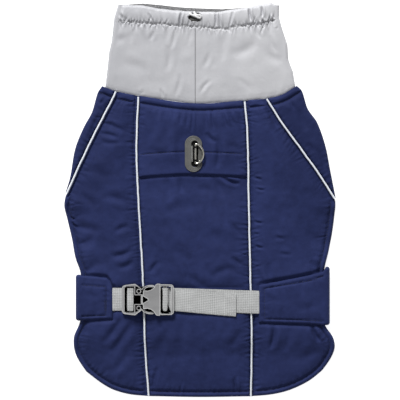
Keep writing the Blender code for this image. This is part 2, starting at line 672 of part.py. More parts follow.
def toggle(group, look):
    """The cord lock: a short ribbed barrel that lies across the opening's lower half."""
    profile = [(2.05, -5.6), (2.05, -4.4), (1.7, -4.1), (1.7, -1.0), (2.05, -0.7), (2.05, 0.7),
               (1.7, 1.0), (1.7, 4.1), (2.05, 4.4), (2.05, 5.6)]
    outline = [(0.0, -6.0), (1.4, -6.0), *profile, (1.4, 6.0), (0.0, 6.0)]
    data = bpy.data.meshes.new("toggle")
    spots = [(radius * MM, 0, along * MM) for radius, along in reversed(outline)]
    data.from_pydata(spots, [(k, k + 1) for k in range(len(spots) - 1)], [])
    barrel = bpy.data.objects.new("toggle", data)
    bpy.context.scene.collection.objects.link(barrel)
    turn = barrel.modifiers.new("turned", "SCREW")
    turn.steps = 14
    turn.render_steps = 14
    turn.use_merge_vertices = True
    turn.merge_threshold = 0.0001
    barrel.rotation_euler = (0, math.pi / 2, 0)
    barrel.location = Vector((OPENING_AT[0], OPENING_AT[1] - 2.2, 3.9)) * MM
    finish_piece(barrel, group, look)


# ---------------------------------------------------------------- tubes and straps

def tube(name, points, radius, group, look, closed=False, resolution=1):
    """A round tube through points given in mm."""
    data = bpy.data.curves.new(name, "CURVE")
    data.dimensions = "3D"
    data.bevel_depth = radius * MM
    data.bevel_resolution = resolution
    data.use_fill_caps = True
    line = data.splines.new("POLY")
    line.points.add(len(points) - 1)
    for knot, point in zip(line.points, points):
        knot.co = (*[value * MM for value in point], 1)
    line.use_cyclic_u = closed
    made_tube = bpy.data.objects.new(name, data)
    bpy.context.scene.collection.objects.link(made_tube)
    return finish_piece(made_tube, group, look)


def piping(group, look):
    """Each piping lies in its seam's valley, on the seam's own line."""
    lift = BACK_SEAM + PIPING_CLEAR + PIPING_RADIUS
    lines = {"piping_left": (PIPED_LEFT, 26), "piping_right": (PIPED_RIGHT, 26),
             "piping_diagonal_left": (SLANT_LEFT, 10), "piping_diagonal_right": (SLANT_RIGHT, 10)}
    for name, (seam, count) in lines.items():
        along = stretch(route(seam), 0.004, 0.997)
        spots = [along(k / count) for k in range(count + 1)]
        tube(name, [(x, y, back_floor(x, y) + lift) for x, y in spots],
             PIPING_RADIUS, group, look)


def drawcord(group, look):
    along = route(CORD_ROUTE)
    tube("drawcord", [along(k / 22) for k in range(23)], CORD_RADIUS, group, look)


def web_strip(name, path, group, look, drift=0.0):
    """Webbing along a path of (x, z) in mm; past the buckle it drifts sideways at a slope."""
    def place(i, j, _):
        x, z = path[i]
        past = max(0.0, x - BUCKLE_AT[0] - BUCKLE_HALF)
        return x, BUCKLE_AT[1] + drift * past + (0.5 - j) * WEB_WIDTH, z

    strip = shaped_grid(name, len(path), 2, place)
    wall = strip.modifiers.new("web", "SOLIDIFY")
    wall.thickness = WEB_THICK * MM
    wall.offset = 0
    return finish_piece(strip, group, look)


def over_bar(low, high, floor, crest, start, lean):
    """Path of webbing that rises at x = high, crosses a bar at the crest and goes down at low."""
    bend = 0.9
    return [(start, floor), (high + lean, floor), (high, floor + abs(lean)), (high, crest - bend),
            (high + (bend if high < low else -bend), crest),
            (low - (bend if high < low else -bend), crest), (low, crest - bend),
            (low, floor + 0.4)]


def webbing(group, look):
    """Left piece and its loop, the strap in the right tab, and the tail on top of it."""
    middle = WEB_THICK / 2
    bx = BUCKLE_AT[0]
    left = over_bar(bx - 15.5, bx - 22.3, STRAP_FLOOR + middle, 14.0, TAB_LEFT[0].x + 0.4, -1.8)
    web_strip("webbing_left", left, group, look)
    strap = [(bx + 14.6, STRAP_FLOOR + middle), (bx + BUCKLE_HALF, STRAP_FLOOR + middle),
             (TAB_RIGHT[0].x - 0.4, STRAP_FLOOR + middle)]
    web_strip("webbing_right", strap, group, look, drift=STRAP_DRIFT)
    tail = over_bar(bx + 16.0, bx + 21.7, TAIL_FLOOR + middle, 14.6, bx + BUCKLE_HALF, 1.3)
    web_strip("webbing_tail", [(TAIL_END, TAIL_FLOOR + middle), *tail], group, look,
              drift=TAIL_DRIFT)


# ---------------------------------------------------------------- buckle

def rounded(corners, pieces=4):
    """The outline through (x, y, radius) corners, with an arc in each that has a radius."""
    outline = []
    count = len(corners)
    for k, (x, y, radius) in enumerate(corners):
        here = Vector((x, y))
        back = (Vector(corners[k - 1][:2]) - here).normalized()
        ahead = (Vector(corners[(k + 1) % count][:2]) - here).normalized()
        half = back.angle(ahead, math.pi) / 2
        if radius == 0 or half > 1.5:
            outline.append(here)
            continue
        reach = radius / math.tan(half)
        centre = here + (back + ahead).normalized() * (radius / math.sin(half))
        start = here + back * reach - centre
        sweep = start.angle_signed(here + ahead * reach - centre)
        for step in range(pieces + 1):
            arm = start.copy()
            arm.rotate(Matrix.Rotation(-sweep * step / pieces, 2))
            outline.append(centre + arm)
    return outline


def cut_sheet(name, outlines, low, high, about=(0.0, 0.0)):
    """A flat solid between two heights in mm; outlines after the first are holes in it."""
    data = bpy.data.curves.new(name, "CURVE")
    data.dimensions = "2D"
    data.fill_mode = "BOTH"
    data.extrude = (high - low) / 2 * MM
    for outline in outlines:
        line = data.splines.new("POLY")
        line.points.add(len(outline) - 1)
        for knot, spot in zip(line.points, outline):
            knot.co = (spot[0] * MM, spot[1] * MM, 0, 1)
        line.use_cyclic_u = True
    shape = bpy.data.objects.new(name + " outline", data)
    bpy.context.scene.collection.objects.link(shape)
    shape.location = Vector((*about, (low + high) / 2)) * MM
    bpy.context.view_layer.update()
    evaluated = shape.evaluated_get(bpy.context.evaluated_depsgraph_get())
    mesh = bpy.data.meshes.new_from_object(evaluated)
    welded = bmesh.new()
    welded.from_mesh(mesh)
    bmesh.ops.remove_doubles(welded, verts=welded.verts[:], dist=1e-6)
    bmesh.ops.recalc_face_normals(welded, faces=welded.faces[:])
    welded.to_mesh(mesh)
    welded.free()
    made = bpy.data.objects.new(name, mesh)
    bpy.context.scene.collection.objects.link(made)
    made.matrix_world = shape.matrix_world
    bpy.data.objects.remove(shape)
    return made


def both_halves(half):
    """A closed outline from its upper half, which starts and ends on the middle line."""
    lower = [(x, -y, radius) for x, y, radius in reversed(half) if y > 0]
    return rounded(list(half) + lower)


def circle(x, y, radius, sides=12):
    turns = [2 * math.pi * k / sides for k in range(sides)]
    return [(x + radius * math.cos(turn), y + radius * math.sin(turn)) for turn in turns]


def buckle_male(group, look):
    """Frame with its web bar, the two ears with their holes, and the two sprung prongs."""
    low, high = 10.2, 14.0
    half = [(-28.2, 15.2, 4), (-13.6, 17.0, 2.5), (-6.4, 11.2, 0.6), (-4.9, 13.2, 0.8),
            (-2.4, 14.7, 0), (1.5, 15.7, 0), (5.4, 15.7, 0), (7.3, 15.1, 0.6), (7.3, 13.3, 0.6),
            (4.4, 13.7, 0), (1.0, 13.6, 0), (-2.0, 12.6, 0), (-3.6, 10.8, 0), (-4.2, 9.0, 0),
            (-4.2, 4.9, 1), (-14.4, 4.9, 0), (-14.4, 13.4, 0), (-16.5, 13.4, 0)]
    slot = [(-25.3, -13.7), (-21.3, -13.7), (-21.3, 13.7), (-25.3, 13.7)]
    ears = [circle(-9.7, side * 9.1, 1.9) for side in (1, -1)]
    frame = cut_sheet("buckle_male", [both_halves(half), slot, *ears], low, high, BUCKLE_AT)
    bx, by = BUCKLE_AT
    boolean(frame, box("male bar cutter", (bx - 23.4, by - 13.9, 13.0), (bx - 14.9, by + 13.9, 15)),
            "DIFFERENCE")
    finish_piece(frame, group, look, 30)


def buckle_female(group, look):
    """Hollow body with its waist and windows, a solid end block, and the web frame."""
    bx, by = BUCKLE_AT
    half = [(-7.3, 4.5, 0.8), (-5.0, 5.6, 0), (-4.9, 10.1, 0.8), (0.0, 9.6, 0), (3.4, 10.6, 0),
            (6.8, 13.0, 0), (8.3, 16.0, 0), (10.2, 17.2, 1.2), (13.4, 17.2, 0)]
    peak = rounded([(-5.4, 2.9, 0.6), (-5.4, -2.9, 0.6), (1.5, 0.0, 0.8)])
    body = cut_sheet("buckle_female", [both_halves(half)], 8.4, 16.0, BUCKLE_AT)
    boolean(body, box("hollow cutter", (bx - 20, by - 30, 9.9), (bx + 7.8, by + 30, 14.3)),
            "DIFFERENCE")
    boolean(body, cut_sheet("window cutter", [peak], 12.0, 18.0, BUCKLE_AT), "DIFFERENCE")
    outline = rounded([(12.6, -16.6, 0), (28.2, -16.4, 3.5), (28.2, 16.4, 3.5), (12.6, 16.6, 0)])
    slots = [[(low, -14.2), (high, -14.2), (high, 14.2), (low, 14.2)]
             for low, high in ((13.9, 17.0), (20.7, 25.3))]
    frame = cut_sheet("web frame", [outline, *slots], 11.8, 15.0, BUCKLE_AT)
    boolean(body, frame, "UNION")
    boolean(body, box("female bar cutter", (bx + 14.9, by - 14.7, 13.6), (bx + 22.8, by + 14.7, 17)),
            "DIFFERENCE")
    finish_piece(body, group, look, 30)


# ---------------------------------------------------------------- leash plate and ring

def stadium(width, height, x=0.0, y=0.0, steps=8):
    """An upright oval with round ends."""
    radius = width / 2
    reach = height / 2 - radius
    turns = [math.pi * k / steps for k in range(steps + 1)]
    top = [(x + radius * math.cos(turn), y + reach + radius * math.sin(turn)) for turn in turns]
    foot = [(x - radius * math.cos(turn), y - reach - radius * math.sin(turn)) for turn in turns]
    return top + foot


def leash_plate(group, look):
    slot = stadium(*PLATE_SLOT, x=SLOT_X - PLATE_AT[0])
    plate = cut_sheet("leash_plate", [stadium(*PLATE_SIZE), slot], PLATE_FLOOR,
                      PLATE_FLOOR + PLATE_THICK, PLATE_AT)
    finish_piece(plate, group, look, 30)


def leash_ring(group, look):
    """The D-ring, with its origin on its straight bar, lying back a little above level."""
    steps = 14
    turns = [-math.pi / 2 + math.pi * k / steps for k in range(steps + 1)]
    arc = [(RING_DEPTH * math.cos(turn), RING_HALF * math.sin(turn), 0.0) for turn in turns]
    bar = [(0.0, RING_HALF * (1 - k / 6), 0.0) for k in (1, 11)]
    ring = tube("leash_ring", arc + bar, RING_WIRE, group, look, closed=True, resolution=2)
    ring.location = Vector(RING_AT) * MM
    ring.rotation_euler = (0, -RING_TILT, 0)


def ring_keeper(group, look):
    """Strip under the ring's bar, with a loop round the bar near each end."""
    x, y, z = RING_AT
    outer, inner, neck = 2.4, 1.65, 2.2
    loop_width, loop_at = 2.2, 7.2
    floor = PLATE_FLOOR - 0.05
    reach = loop_at + loop_width / 2
    keeper = box("ring_keeper", (x - 2.0, y - reach - 0.2, floor), (x + 2.0, y + reach + 0.2, floor + 0.7))
    for side in (1, -1):
        at = y + side * loop_at
        post = box(f"post cutter {side}", (x - neck, at - loop_width / 2 + 0.1, floor + 0.15),
                   (x + neck, at + loop_width / 2 - 0.1, z))
        boolean(keeper, post, "UNION")
        boolean(keeper, drum(f"loop cutter {side}", (x, at, z), outer, loop_width, "Y"), "UNION")
    boolean(keeper, drum("bar cutter", (x, y, z), inner, 2 * reach + 2, "Y"), "DIFFERENCE")
    finish_piece(keeper, group, look, 30)


def main():
    clear_scene()
    coat = new_collection("dog winter coat")
    new_collection("cutters")
    collar_tube(coat, SILVER_CLOTH)
    toggle(coat, TOGGLE_BLACK)
    drawcord(coat, CORD_WHITE)
    yoke(coat, NAVY_CLOTH)
    centre_back(coat, NAVY_CLOTH)
    side_backs(coat, NAVY_CLOTH)
    shoulders(coat, NAVY_CLOTH)
    chest_panel(coat, NAVY_CLOTH)
    belly_band(coat, NAVY_CLOTH)
    piping(coat, PIPING_WHITE)
    webbing(coat, WEB_GREY)
    buckle_male(coat, BUCKLE_GREY)
    buckle_female(coat, BUCKLE_GREY)
    leash_plate(coat, PLATE_GREY)
    leash_ring(coat, STEEL)
    ring_keeper(coat, KEEPER_BLACK)


main()
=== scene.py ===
import json
import math

import bpy
import numpy as np
from mathutils import Matrix, Vector, noise
from mathutils.bvhtree import BVHTree

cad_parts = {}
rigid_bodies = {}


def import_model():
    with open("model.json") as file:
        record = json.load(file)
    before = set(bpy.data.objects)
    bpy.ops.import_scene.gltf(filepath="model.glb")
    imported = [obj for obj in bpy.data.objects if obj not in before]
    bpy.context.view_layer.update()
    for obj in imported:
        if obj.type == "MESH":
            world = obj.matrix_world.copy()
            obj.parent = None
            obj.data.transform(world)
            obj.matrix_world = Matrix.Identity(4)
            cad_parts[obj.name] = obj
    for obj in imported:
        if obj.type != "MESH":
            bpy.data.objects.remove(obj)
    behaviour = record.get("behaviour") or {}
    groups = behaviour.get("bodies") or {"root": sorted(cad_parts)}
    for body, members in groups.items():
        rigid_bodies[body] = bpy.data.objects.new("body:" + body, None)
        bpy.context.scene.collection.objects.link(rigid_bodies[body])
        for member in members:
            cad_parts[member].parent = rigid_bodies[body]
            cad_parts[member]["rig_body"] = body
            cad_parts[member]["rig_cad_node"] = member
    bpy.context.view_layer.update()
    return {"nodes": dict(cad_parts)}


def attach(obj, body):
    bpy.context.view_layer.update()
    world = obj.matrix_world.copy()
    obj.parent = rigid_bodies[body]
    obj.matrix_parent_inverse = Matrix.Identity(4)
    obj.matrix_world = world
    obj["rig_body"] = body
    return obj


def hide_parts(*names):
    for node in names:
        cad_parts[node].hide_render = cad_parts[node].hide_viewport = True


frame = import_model()
mm = 0.001
print("frame loaded:", len(frame["nodes"]), "solids")

# camera, straight above, with the collar up; "wide" is what it sees across at the cloth's "level"
view = {"height": 1.72, "lens": 142, "middle": (0.0, 0.0), "wide": 0.436, "level": 0.006}

bpy.ops.object.camera_add(location=(*view["middle"], view["height"]), rotation=(0, 0, 0))
camera = bpy.context.object
camera.data.lens = view["lens"]
camera.data.sensor_width = view["wide"] * view["lens"] / (view["height"] - view["level"])
camera.data.clip_end = 10
bpy.context.scene.camera = camera


class Wire:
    # a socket of a material's nodes: arithmetic on it adds Math nodes
    def __init__(self, finish, socket):
        self.finish, self.socket = finish, socket

    def maths(self, operation, *values):
        return self.finish.node("ShaderNodeMath", {"operation": operation}, dict(enumerate(values)))

    def __add__(self, other):
        return self.maths("ADD", self, other)

    def __radd__(self, other):
        return self.maths("ADD", other, self)

    def __sub__(self, other):
        return self.maths("SUBTRACT", self, other)

    def __rsub__(self, other):
        return self.maths("SUBTRACT", other, self)

    def __mul__(self, other):
        return self.maths("MULTIPLY", self, other)

    def __rmul__(self, other):
        return self.maths("MULTIPLY", other, self)

    def __truediv__(self, other):
        return self.maths("DIVIDE", self, other)

    def __abs__(self):
        return self.maths("ABSOLUTE", self)

    def sine(self):
        return self.maths("SINE", self)

    def most(self, other):
        return self.maths("MAXIMUM", self, other)

    def between(self, low, high):
        # 0 up to low, 1 from high on, and smooth between them
        return self.finish.node("ShaderNodeMapRange", {"interpolation_type": "SMOOTHSTEP"},
                                {"Value": self, "From Min": low, "From Max": high})


class Finish:
    # a material, with its shader's fixed values given by name
    def __init__(self, name, **fixed):
        self.material = bpy.data.materials.new(name)
        self.material.use_nodes = True
        self.tree = self.material.node_tree
        self.shader = self.tree.nodes["Principled BSDF"]
        for socket, value in fixed.items():
            self.shader.inputs[socket.replace("_", " ")].default_value = value

    def node(self, kind, settings, values, output=0):
        made = self.tree.nodes.new(kind)
        for name, value in settings.items():
            setattr(made, name, value)
        for name, value in values.items():
            if isinstance(value, Wire):
                self.tree.links.new(value.socket, made.inputs[name])
            else:
                made.inputs[name].default_value = value
        return Wire(self, made.outputs[output])

    def spot(self):
        # the point on the surface, in mm
        place = self.node("ShaderNodeTexCoord", {}, {}, "Object")
        return self.node("ShaderNodeVectorMath", {"operation": "SCALE"}, {0: place, "Scale": 1000.0})

    def sheetSpot(self):
        # the point on the piece's own sheet, from its UV map, in mm along and across
        return self.node("ShaderNodeTexCoord", {}, {}, "UV")

    def axes(self, spot):
        return [self.node("ShaderNodeSeparateXYZ", {}, {0: spot}, k) for k in range(3)]

    def stretched(self, spot, x, y, z):
        return self.node("ShaderNodeVectorMath", {"operation": "MULTIPLY"}, {0: spot, 1: (x, y, z)})

    def noise(self, spot, size, detail=2, rough=0.5, twist=0.0):
        return self.node("ShaderNodeTexNoise", {}, {"Vector": spot, "Scale": 1 / size, "Detail": detail,
                                                    "Roughness": rough, "Distortion": twist})

    def cells(self, spot, size):
        return self.node("ShaderNodeTexVoronoi", {}, {"Vector": spot, "Scale": 1 / size}, "Distance")

    def mixed(self, share, first, second):
        # a colour between two
        values = {0: share, 6: first, 7: second}
        values = {k: (*v, 1) if isinstance(v, tuple) else v for k, v in values.items()}
        return self.node("ShaderNodeMix", {"data_type": "RGBA", "clamp_factor": True}, values, 2)

    def feed(self, socket, wire):
        self.tree.links.new(wire.socket, self.shader.inputs[socket])

    def relief(self, height, strength=1.0):
        # bump from a height in mm
        self.feed("Normal", self.node("ShaderNodeBump", {}, {"Height": height, "Distance": mm,
                                                             "Strength": strength}))
        return self.material


turn = 2 * math.pi
webWidth = 25.0         # mm, of the belly strap


def paddedShell():
    # navy peached shell: a fine twill, a soft nap and slow changes of tone
    finish = Finish("paddedShell", Roughness=0.82, Sheen_Weight=0.03, Sheen_Roughness=0.45,
                    Specular_IOR_Level=0.15)
    spot = finish.spot()
    x, y, _ = finish.axes(spot)
    ribs = ((x + 0.55 * y) * (turn / 0.7)).sine()
    picks = ((0.55 * x - y) * (turn / 0.95)).sine()
    nap = finish.noise(spot, 0.5, 3, 0.6)
    mottle = finish.noise(spot, 6, 4, 0.6)
    tone = finish.noise(spot, 38, 3, 0.55, 0.6)
    # painted shade: a little darker on both shoulders, where the studio light falls off
    paintedShade = (0.65 * x.between(62, 118) + 0.45 * (-1 * x).between(62, 118)) * y.between(-70, 40)
    share = 0.5 + 1.2 * (mottle - 0.5) + 1.4 * (tone - 0.5) - paintedShade
    base = finish.mixed(share, (0.0140, 0.0210, 0.079), (0.0235, 0.0345, 0.122))
    worn = finish.mixed(nap.between(0.52, 0.78) * 0.35, base, (0.036, 0.048, 0.145))
    finish.feed("Base Color", worn)
    finish.feed("Roughness", 0.70 + 0.16 * mottle)
    return finish.relief(0.10 * nap + 0.014 * ribs + 0.010 * picks + 0.30 * mottle)


def collarNylon():
    # light grey satin taffeta, a little crushed, with a seam down the middle below the casing
    finish = Finish("collarNylon", Roughness=0.44, Specular_IOR_Level=0.42, Sheen_Weight=0.05)
    spot = finish.spot()
    x, y, _ = finish.axes(spot)
    weave = (x * (turn / 0.42)).sine() * (y * (turn / 0.5)).sine()
    crush = finish.noise(spot, 7, 2, 0.5, 0.8)
    slant = finish.noise(finish.stretched(spot, 1, 0.35, 1), 9, 2, 0.5, 0.6)
    tone = finish.noise(spot, 44, 2, 0.5, 0.4)
    # painted light: lighter towards the right by 0.005 * x, as the light falls across the collar
    shade = finish.mixed(0.5 + 1.3 * (tone - 0.5) + 0.005 * x, (0.470, 0.473, 0.500), (0.560, 0.562, 0.586))
    seam = (1 - abs(x + 5.1).between(0.25, 0.6)) * (1 - y.between(186, 188))
    finish.feed("Base Color", finish.mixed(0.7 * seam, shade, (0.16, 0.16, 0.17)))
    finish.feed("Roughness", 0.38 + 0.16 * crush)
    return finish.relief(0.010 * weave + 0.16 * crush + 0.30 * slant - 0.30 * seam)


def liningFleece():
    # the collar's grey lining: short curled pile
    finish = Finish("liningFleece", Roughness=0.92, Sheen_Weight=0.3, Sheen_Roughness=0.6)
    spot = finish.spot()
    pile = finish.noise(spot, 0.9, 4, 0.65, 1.2)
    tufts = finish.cells(spot, 1.5)
    finish.feed("Base Color", finish.mixed(pile.between(0.34, 0.66), (0.10, 0.10, 0.105),
                                           (0.40, 0.40, 0.41)))
    return finish.relief(0.9 * pile - 0.5 * tufts)


def pipingTape():
    # reflective tape round a cord: near white, fine cross ribs, glass beads
    finish = Finish("pipingTape", Roughness=0.38, Specular_IOR_Level=0.6, Sheen_Weight=0.05)
    spot = finish.spot()
    beads = finish.cells(spot, 0.28)
    tone = finish.noise(spot, 5, 3, 0.6)
    finish.feed("Base Color", finish.mixed(0.5 + 1.4 * (tone - 0.5), (0.77, 0.82, 0.90),
                                           (0.92, 0.95, 1.0)))
    finish.feed("Roughness", 0.30 + 0.25 * tone)
    return finish.relief(0.05 * beads + 0.25 * tone)


def wovenWeb(name, low, high, pitch, depth):
    # webbing: warp cords that run along it, cross picks, and painted shade on the rounded edge on both sides
    finish = Finish(name, Roughness=0.72, Specular_IOR_Level=0.35, Sheen_Weight=0.08)
    along, across, _ = finish.axes(finish.sheetSpot())
    spot = finish.spot()
    warp = (across * (turn / pitch)).sine()
    picks = ((along + 0.5 * pitch * warp) * (turn / (1.35 * pitch))).sine()
    fine = (across * (2 * turn / pitch)).sine() * (along * (2 * turn / pitch)).sine()
    fray = finish.noise(spot, 0.7, 3, 0.6)
    tone = finish.noise(spot, 12, 3, 0.5)
    lit = 0.5 + 0.26 * warp + 0.42 * picks * warp + 0.4 * (fray - 0.5) + 0.7 * (tone - 0.5)
    half = webWidth / 2
    # painted shade: both edges darker, for the shadow line along the strap's edges
    paintedEdgeShade = abs(across - half).between(half - 0.7, half)
    finish.feed("Base Color", finish.mixed(lit - 1.1 * paintedEdgeShade, low, high))
    return finish.relief(depth * (0.5 * warp + picks * warp + 0.3 * fine) + 0.12 * fray)


def mouldedPlastic(name, dark, light, rough, grain, shine=0.5):
    # moulded plastic: spark-eroded grain, flow marks and scuffs
    finish = Finish(name, Roughness=rough, Specular_IOR_Level=shine)
    spot = finish.spot()
    fine = finish.noise(spot, 0.35, 3, 0.6)
    flow = finish.noise(finish.stretched(spot, 0.35, 1, 1), 5, 3, 0.5, 0.5)
    scuff = finish.noise(finish.stretched(spot, 0.2, 1.4, 1), 1.6, 4, 0.7).between(0.62, 0.74)
    shade = finish.mixed(0.5 + 1.3 * (flow - 0.5) + 0.4 * (fine - 0.5), dark, light)
    paler = tuple(min(1.0, 1.35 * c + 0.02) for c in light)
    finish.feed("Base Color", finish.mixed(0.4 * scuff, shade, paler))
    finish.feed("Roughness", rough - 0.05 + 0.14 * flow + 0.12 * scuff)
    return finish.relief(grain * fine + 0.05 * flow - 0.03 * scuff)


def platedSteel():
    # nickel plate: bright, drawn along the wire, a little worn
    finish = Finish("platedSteel", Metallic=1.0, Roughness=0.22)
    spot = finish.spot()
    drawn = finish.noise(finish.stretched(spot, 1, 0.15, 1), 0.5, 3, 0.6)
    worn = finish.noise(spot, 3.5, 3, 0.6)
    finish.feed("Base Color", finish.mixed(0.5 + 1.6 * (worn - 0.5), (0.62, 0.60, 0.52),
                                           (0.86, 0.85, 0.80)))
    finish.feed("Roughness", 0.14 + 0.22 * worn)
    return finish.relief(0.02 * drawn + 0.03 * worn)


def braidedCord():
    # round braid: two sets of strands that cross
    finish = Finish("braidedCord", Roughness=0.75, Sheen_Weight=0.1)
    along, around, _ = finish.axes(finish.sheetSpot())
    spot = finish.spot()
    first = ((along / 1.7 + around * 4) * turn).sine()
    second = ((along / 1.7 - around * 4) * turn).sine()
    braid = first.most(second)
    fuzz = finish.noise(spot, 0.4, 3, 0.6)
    # painted shade: darker in the grooves between the strands
    finish.feed("Base Color", finish.mixed(braid.between(0.1, 0.9), (0.56, 0.56, 0.58),
                                           (0.88, 0.88, 0.88)))
    return finish.relief(0.05 * braid + 0.05 * fuzz)


def sewingThread(name, dark, light):
    # twisted thread
    finish = Finish(name, Roughness=0.6, Sheen_Weight=0.1)
    spot = finish.spot()
    x, y, _ = finish.axes(spot)
    ply = ((x + y) * (turn / 0.5)).sine()
    tone = finish.noise(spot, 1.5, 2)
    # painted shade: the colour follows the ply's twist, darker in its grooves, with a random tone
    finish.feed("Base Color", finish.mixed(0.5 + 0.3 * ply + (tone - 0.5), dark, light))
    return finish.relief(0.04 * ply)


finishes = {
    "shell": paddedShell(),
    "nylon": collarNylon(),
    "fleece": liningFleece(),
    "piping": pipingTape(),
    "web": wovenWeb("greyWeb", (0.33, 0.335, 0.335), (0.70, 0.71, 0.71), 1.5, 0.10),
    "hemmedWeb": wovenWeb("hemmedWeb", (0.34, 0.345, 0.345), (0.70, 0.71, 0.71), 1.5, 0.10),
    "buckle": mouldedPlastic("bucklePlastic", (0.27, 0.27, 0.275), (0.33, 0.33, 0.335), 0.42, 0.02),
    # painted highlight: a paler plastic for the buckles' rims and the faces that look up
    "paintedBuckleHighlight": mouldedPlastic("paintedBuckleHighlights", (0.52, 0.52, 0.52), (0.66, 0.66, 0.66), 0.38, 0.02),
    "lock": mouldedPlastic("lockPlastic", (0.010, 0.010, 0.010), (0.030, 0.030, 0.029), 0.36, 0.02),
    "tape": mouldedPlastic("keeperTape", (0.003, 0.003, 0.003), (0.010, 0.010, 0.010), 0.8, 0.04, 0.12),
    "lockRibs": mouldedPlastic("lockRibs", (0.045, 0.045, 0.043), (0.11, 0.11, 0.105), 0.42, 0.03),
    "plate": mouldedPlastic("plateRubber", (0.105, 0.105, 0.100), (0.150, 0.150, 0.145), 0.52, 0.05),
    "plateTeeth": mouldedPlastic("plateTeeth", (0.17, 0.17, 0.165), (0.26, 0.26, 0.25), 0.5, 0.05),
    "steel": platedSteel(),
    "cord": braidedCord(),
    "navyThread": sewingThread("navyThread", (0.006, 0.008, 0.026), (0.018, 0.024, 0.072)),
    "greyThread": sewingThread("greyThread", (0.36, 0.36, 0.37), (0.62, 0.62, 0.62)),
}
print("finishes made:", len(finishes))


def selectOnly(piece):
    bpy.ops.object.select_all(action="DESELECT")
    piece.select_set(True)
    bpy.context.view_layer.objects.active = piece


def startPiece(name, add, **settings):
    # a primitive that is shaped afterwards
    bpy.ops.object.select_all(action="DESELECT")
    add(**settings)
    piece = bpy.context.object
    piece.name = piece.data.name = name
    return piece


def joinPieces(first, *others):
    # joins the others into the first
    selectOnly(first)
    for piece in others:
        piece.select_set(True)
    bpy.ops.object.join()
    return first


def editing(piece, *steps):
    # runs steps in edit mode, on what is selected there
    selectOnly(piece)
    bpy.ops.object.mode_set(mode="EDIT")
    for step in steps:
        step()
    bpy.ops.object.mode_set(mode="OBJECT")


def pickAll():
    bpy.ops.mesh.select_all(action="SELECT")


def faceOutward():
    bpy.ops.mesh.normals_make_consistent(inside=False)


def weld():
    bpy.ops.mesh.remove_doubles(threshold=0.00001)


def extrudeDown():
    bpy.ops.mesh.extrude_region_move(TRANSFORM_OT_translate={"value": (0, 0, -0.001)})


def places(piece):
    # where a piece's points are, in mm
    found = np.empty(len(piece.data.vertices) * 3)
    piece.data.vertices.foreach_get("co", found)
    return found.reshape(-1, 3) / mm


def setPlaces(piece, spots):
    piece.data.vertices.foreach_set("co", (spots * mm).ravel())
    piece.data.update()


def gridPiece(name, spots):
    # a grid primitive laid on spots in mm, which are given in rows from the top left
    rows, columns = spots.shape[:2]
    piece = startPiece(name, bpy.ops.mesh.primitive_grid_add, x_subdivisions=columns - 1,
                       y_subdivisions=rows - 1, size=2)
    setPlaces(piece, spots[::-1].reshape(rows * columns, 3))
    return piece


def pick(piece, chosen):
    # selects points by a mask, for the next edit mode
    piece.data.polygons.foreach_set("select", np.zeros(len(piece.data.polygons), bool))
    piece.data.edges.foreach_set("select", np.zeros(len(piece.data.edges), bool))
    piece.data.vertices.foreach_set("select", chosen)


def picked(piece):
    found = np.zeros(len(piece.data.vertices), bool)
    piece.data.vertices.foreach_get("select", found)
    return found


def closeBelow(piece, underside):
    # extrudes a sheet down onto its underside, given as a function of x and y, to a closed pad
    editing(piece, pickAll, extrudeDown)
    spots = places(piece)
    lower = picked(piece)
    spots[lower, 2] = underside(spots[lower, :2])
    setPlaces(piece, spots)
    editing(piece, pickAll, weld, faceOutward)


def thicken(piece, thickness, offset=-1, lining=0, shares=None):
    # a wall, which may be thinner at some points by their share
    wall = piece.modifiers.new("wall", "SOLIDIFY")
    wall.thickness = thickness * mm
    wall.offset = offset
    wall.material_offset = lining
    if shares is not None:
        group = piece.vertex_groups.new(name="share")
        for k, share in enumerate(shares):
            group.add([k], float(share), "REPLACE")
        wall.vertex_group = group.name
    selectOnly(piece)
    bpy.ops.object.modifier_apply(modifier=wall.name)


def roundEdges(piece, width, segments=2, degrees=35, material=-1):
    edge = piece.modifiers.new("edges", "BEVEL")
    edge.width = width * mm
    edge.segments = segments
    edge.limit_method = "ANGLE"
    edge.angle_limit = math.radians(degrees)
    edge.material = material
    selectOnly(piece)
    bpy.ops.object.modifier_apply(modifier=edge.name)


def shadeSmooth(piece, degrees=40):
    selectOnly(piece)
    bpy.ops.object.shade_smooth_by_angle(angle=math.radians(degrees))


def dress(piece, slot, *looks, node=None, body="coat"):
    # a finished piece gets its materials and its body, and its CAD node is hidden
    for look in looks:
        piece.data.materials.append(finishes[look])
    if node:
        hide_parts(node)
    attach(piece, body)
    return piece


def halfSurface(piece):
    return sum(face.area for face in piece.data.polygons) / 2


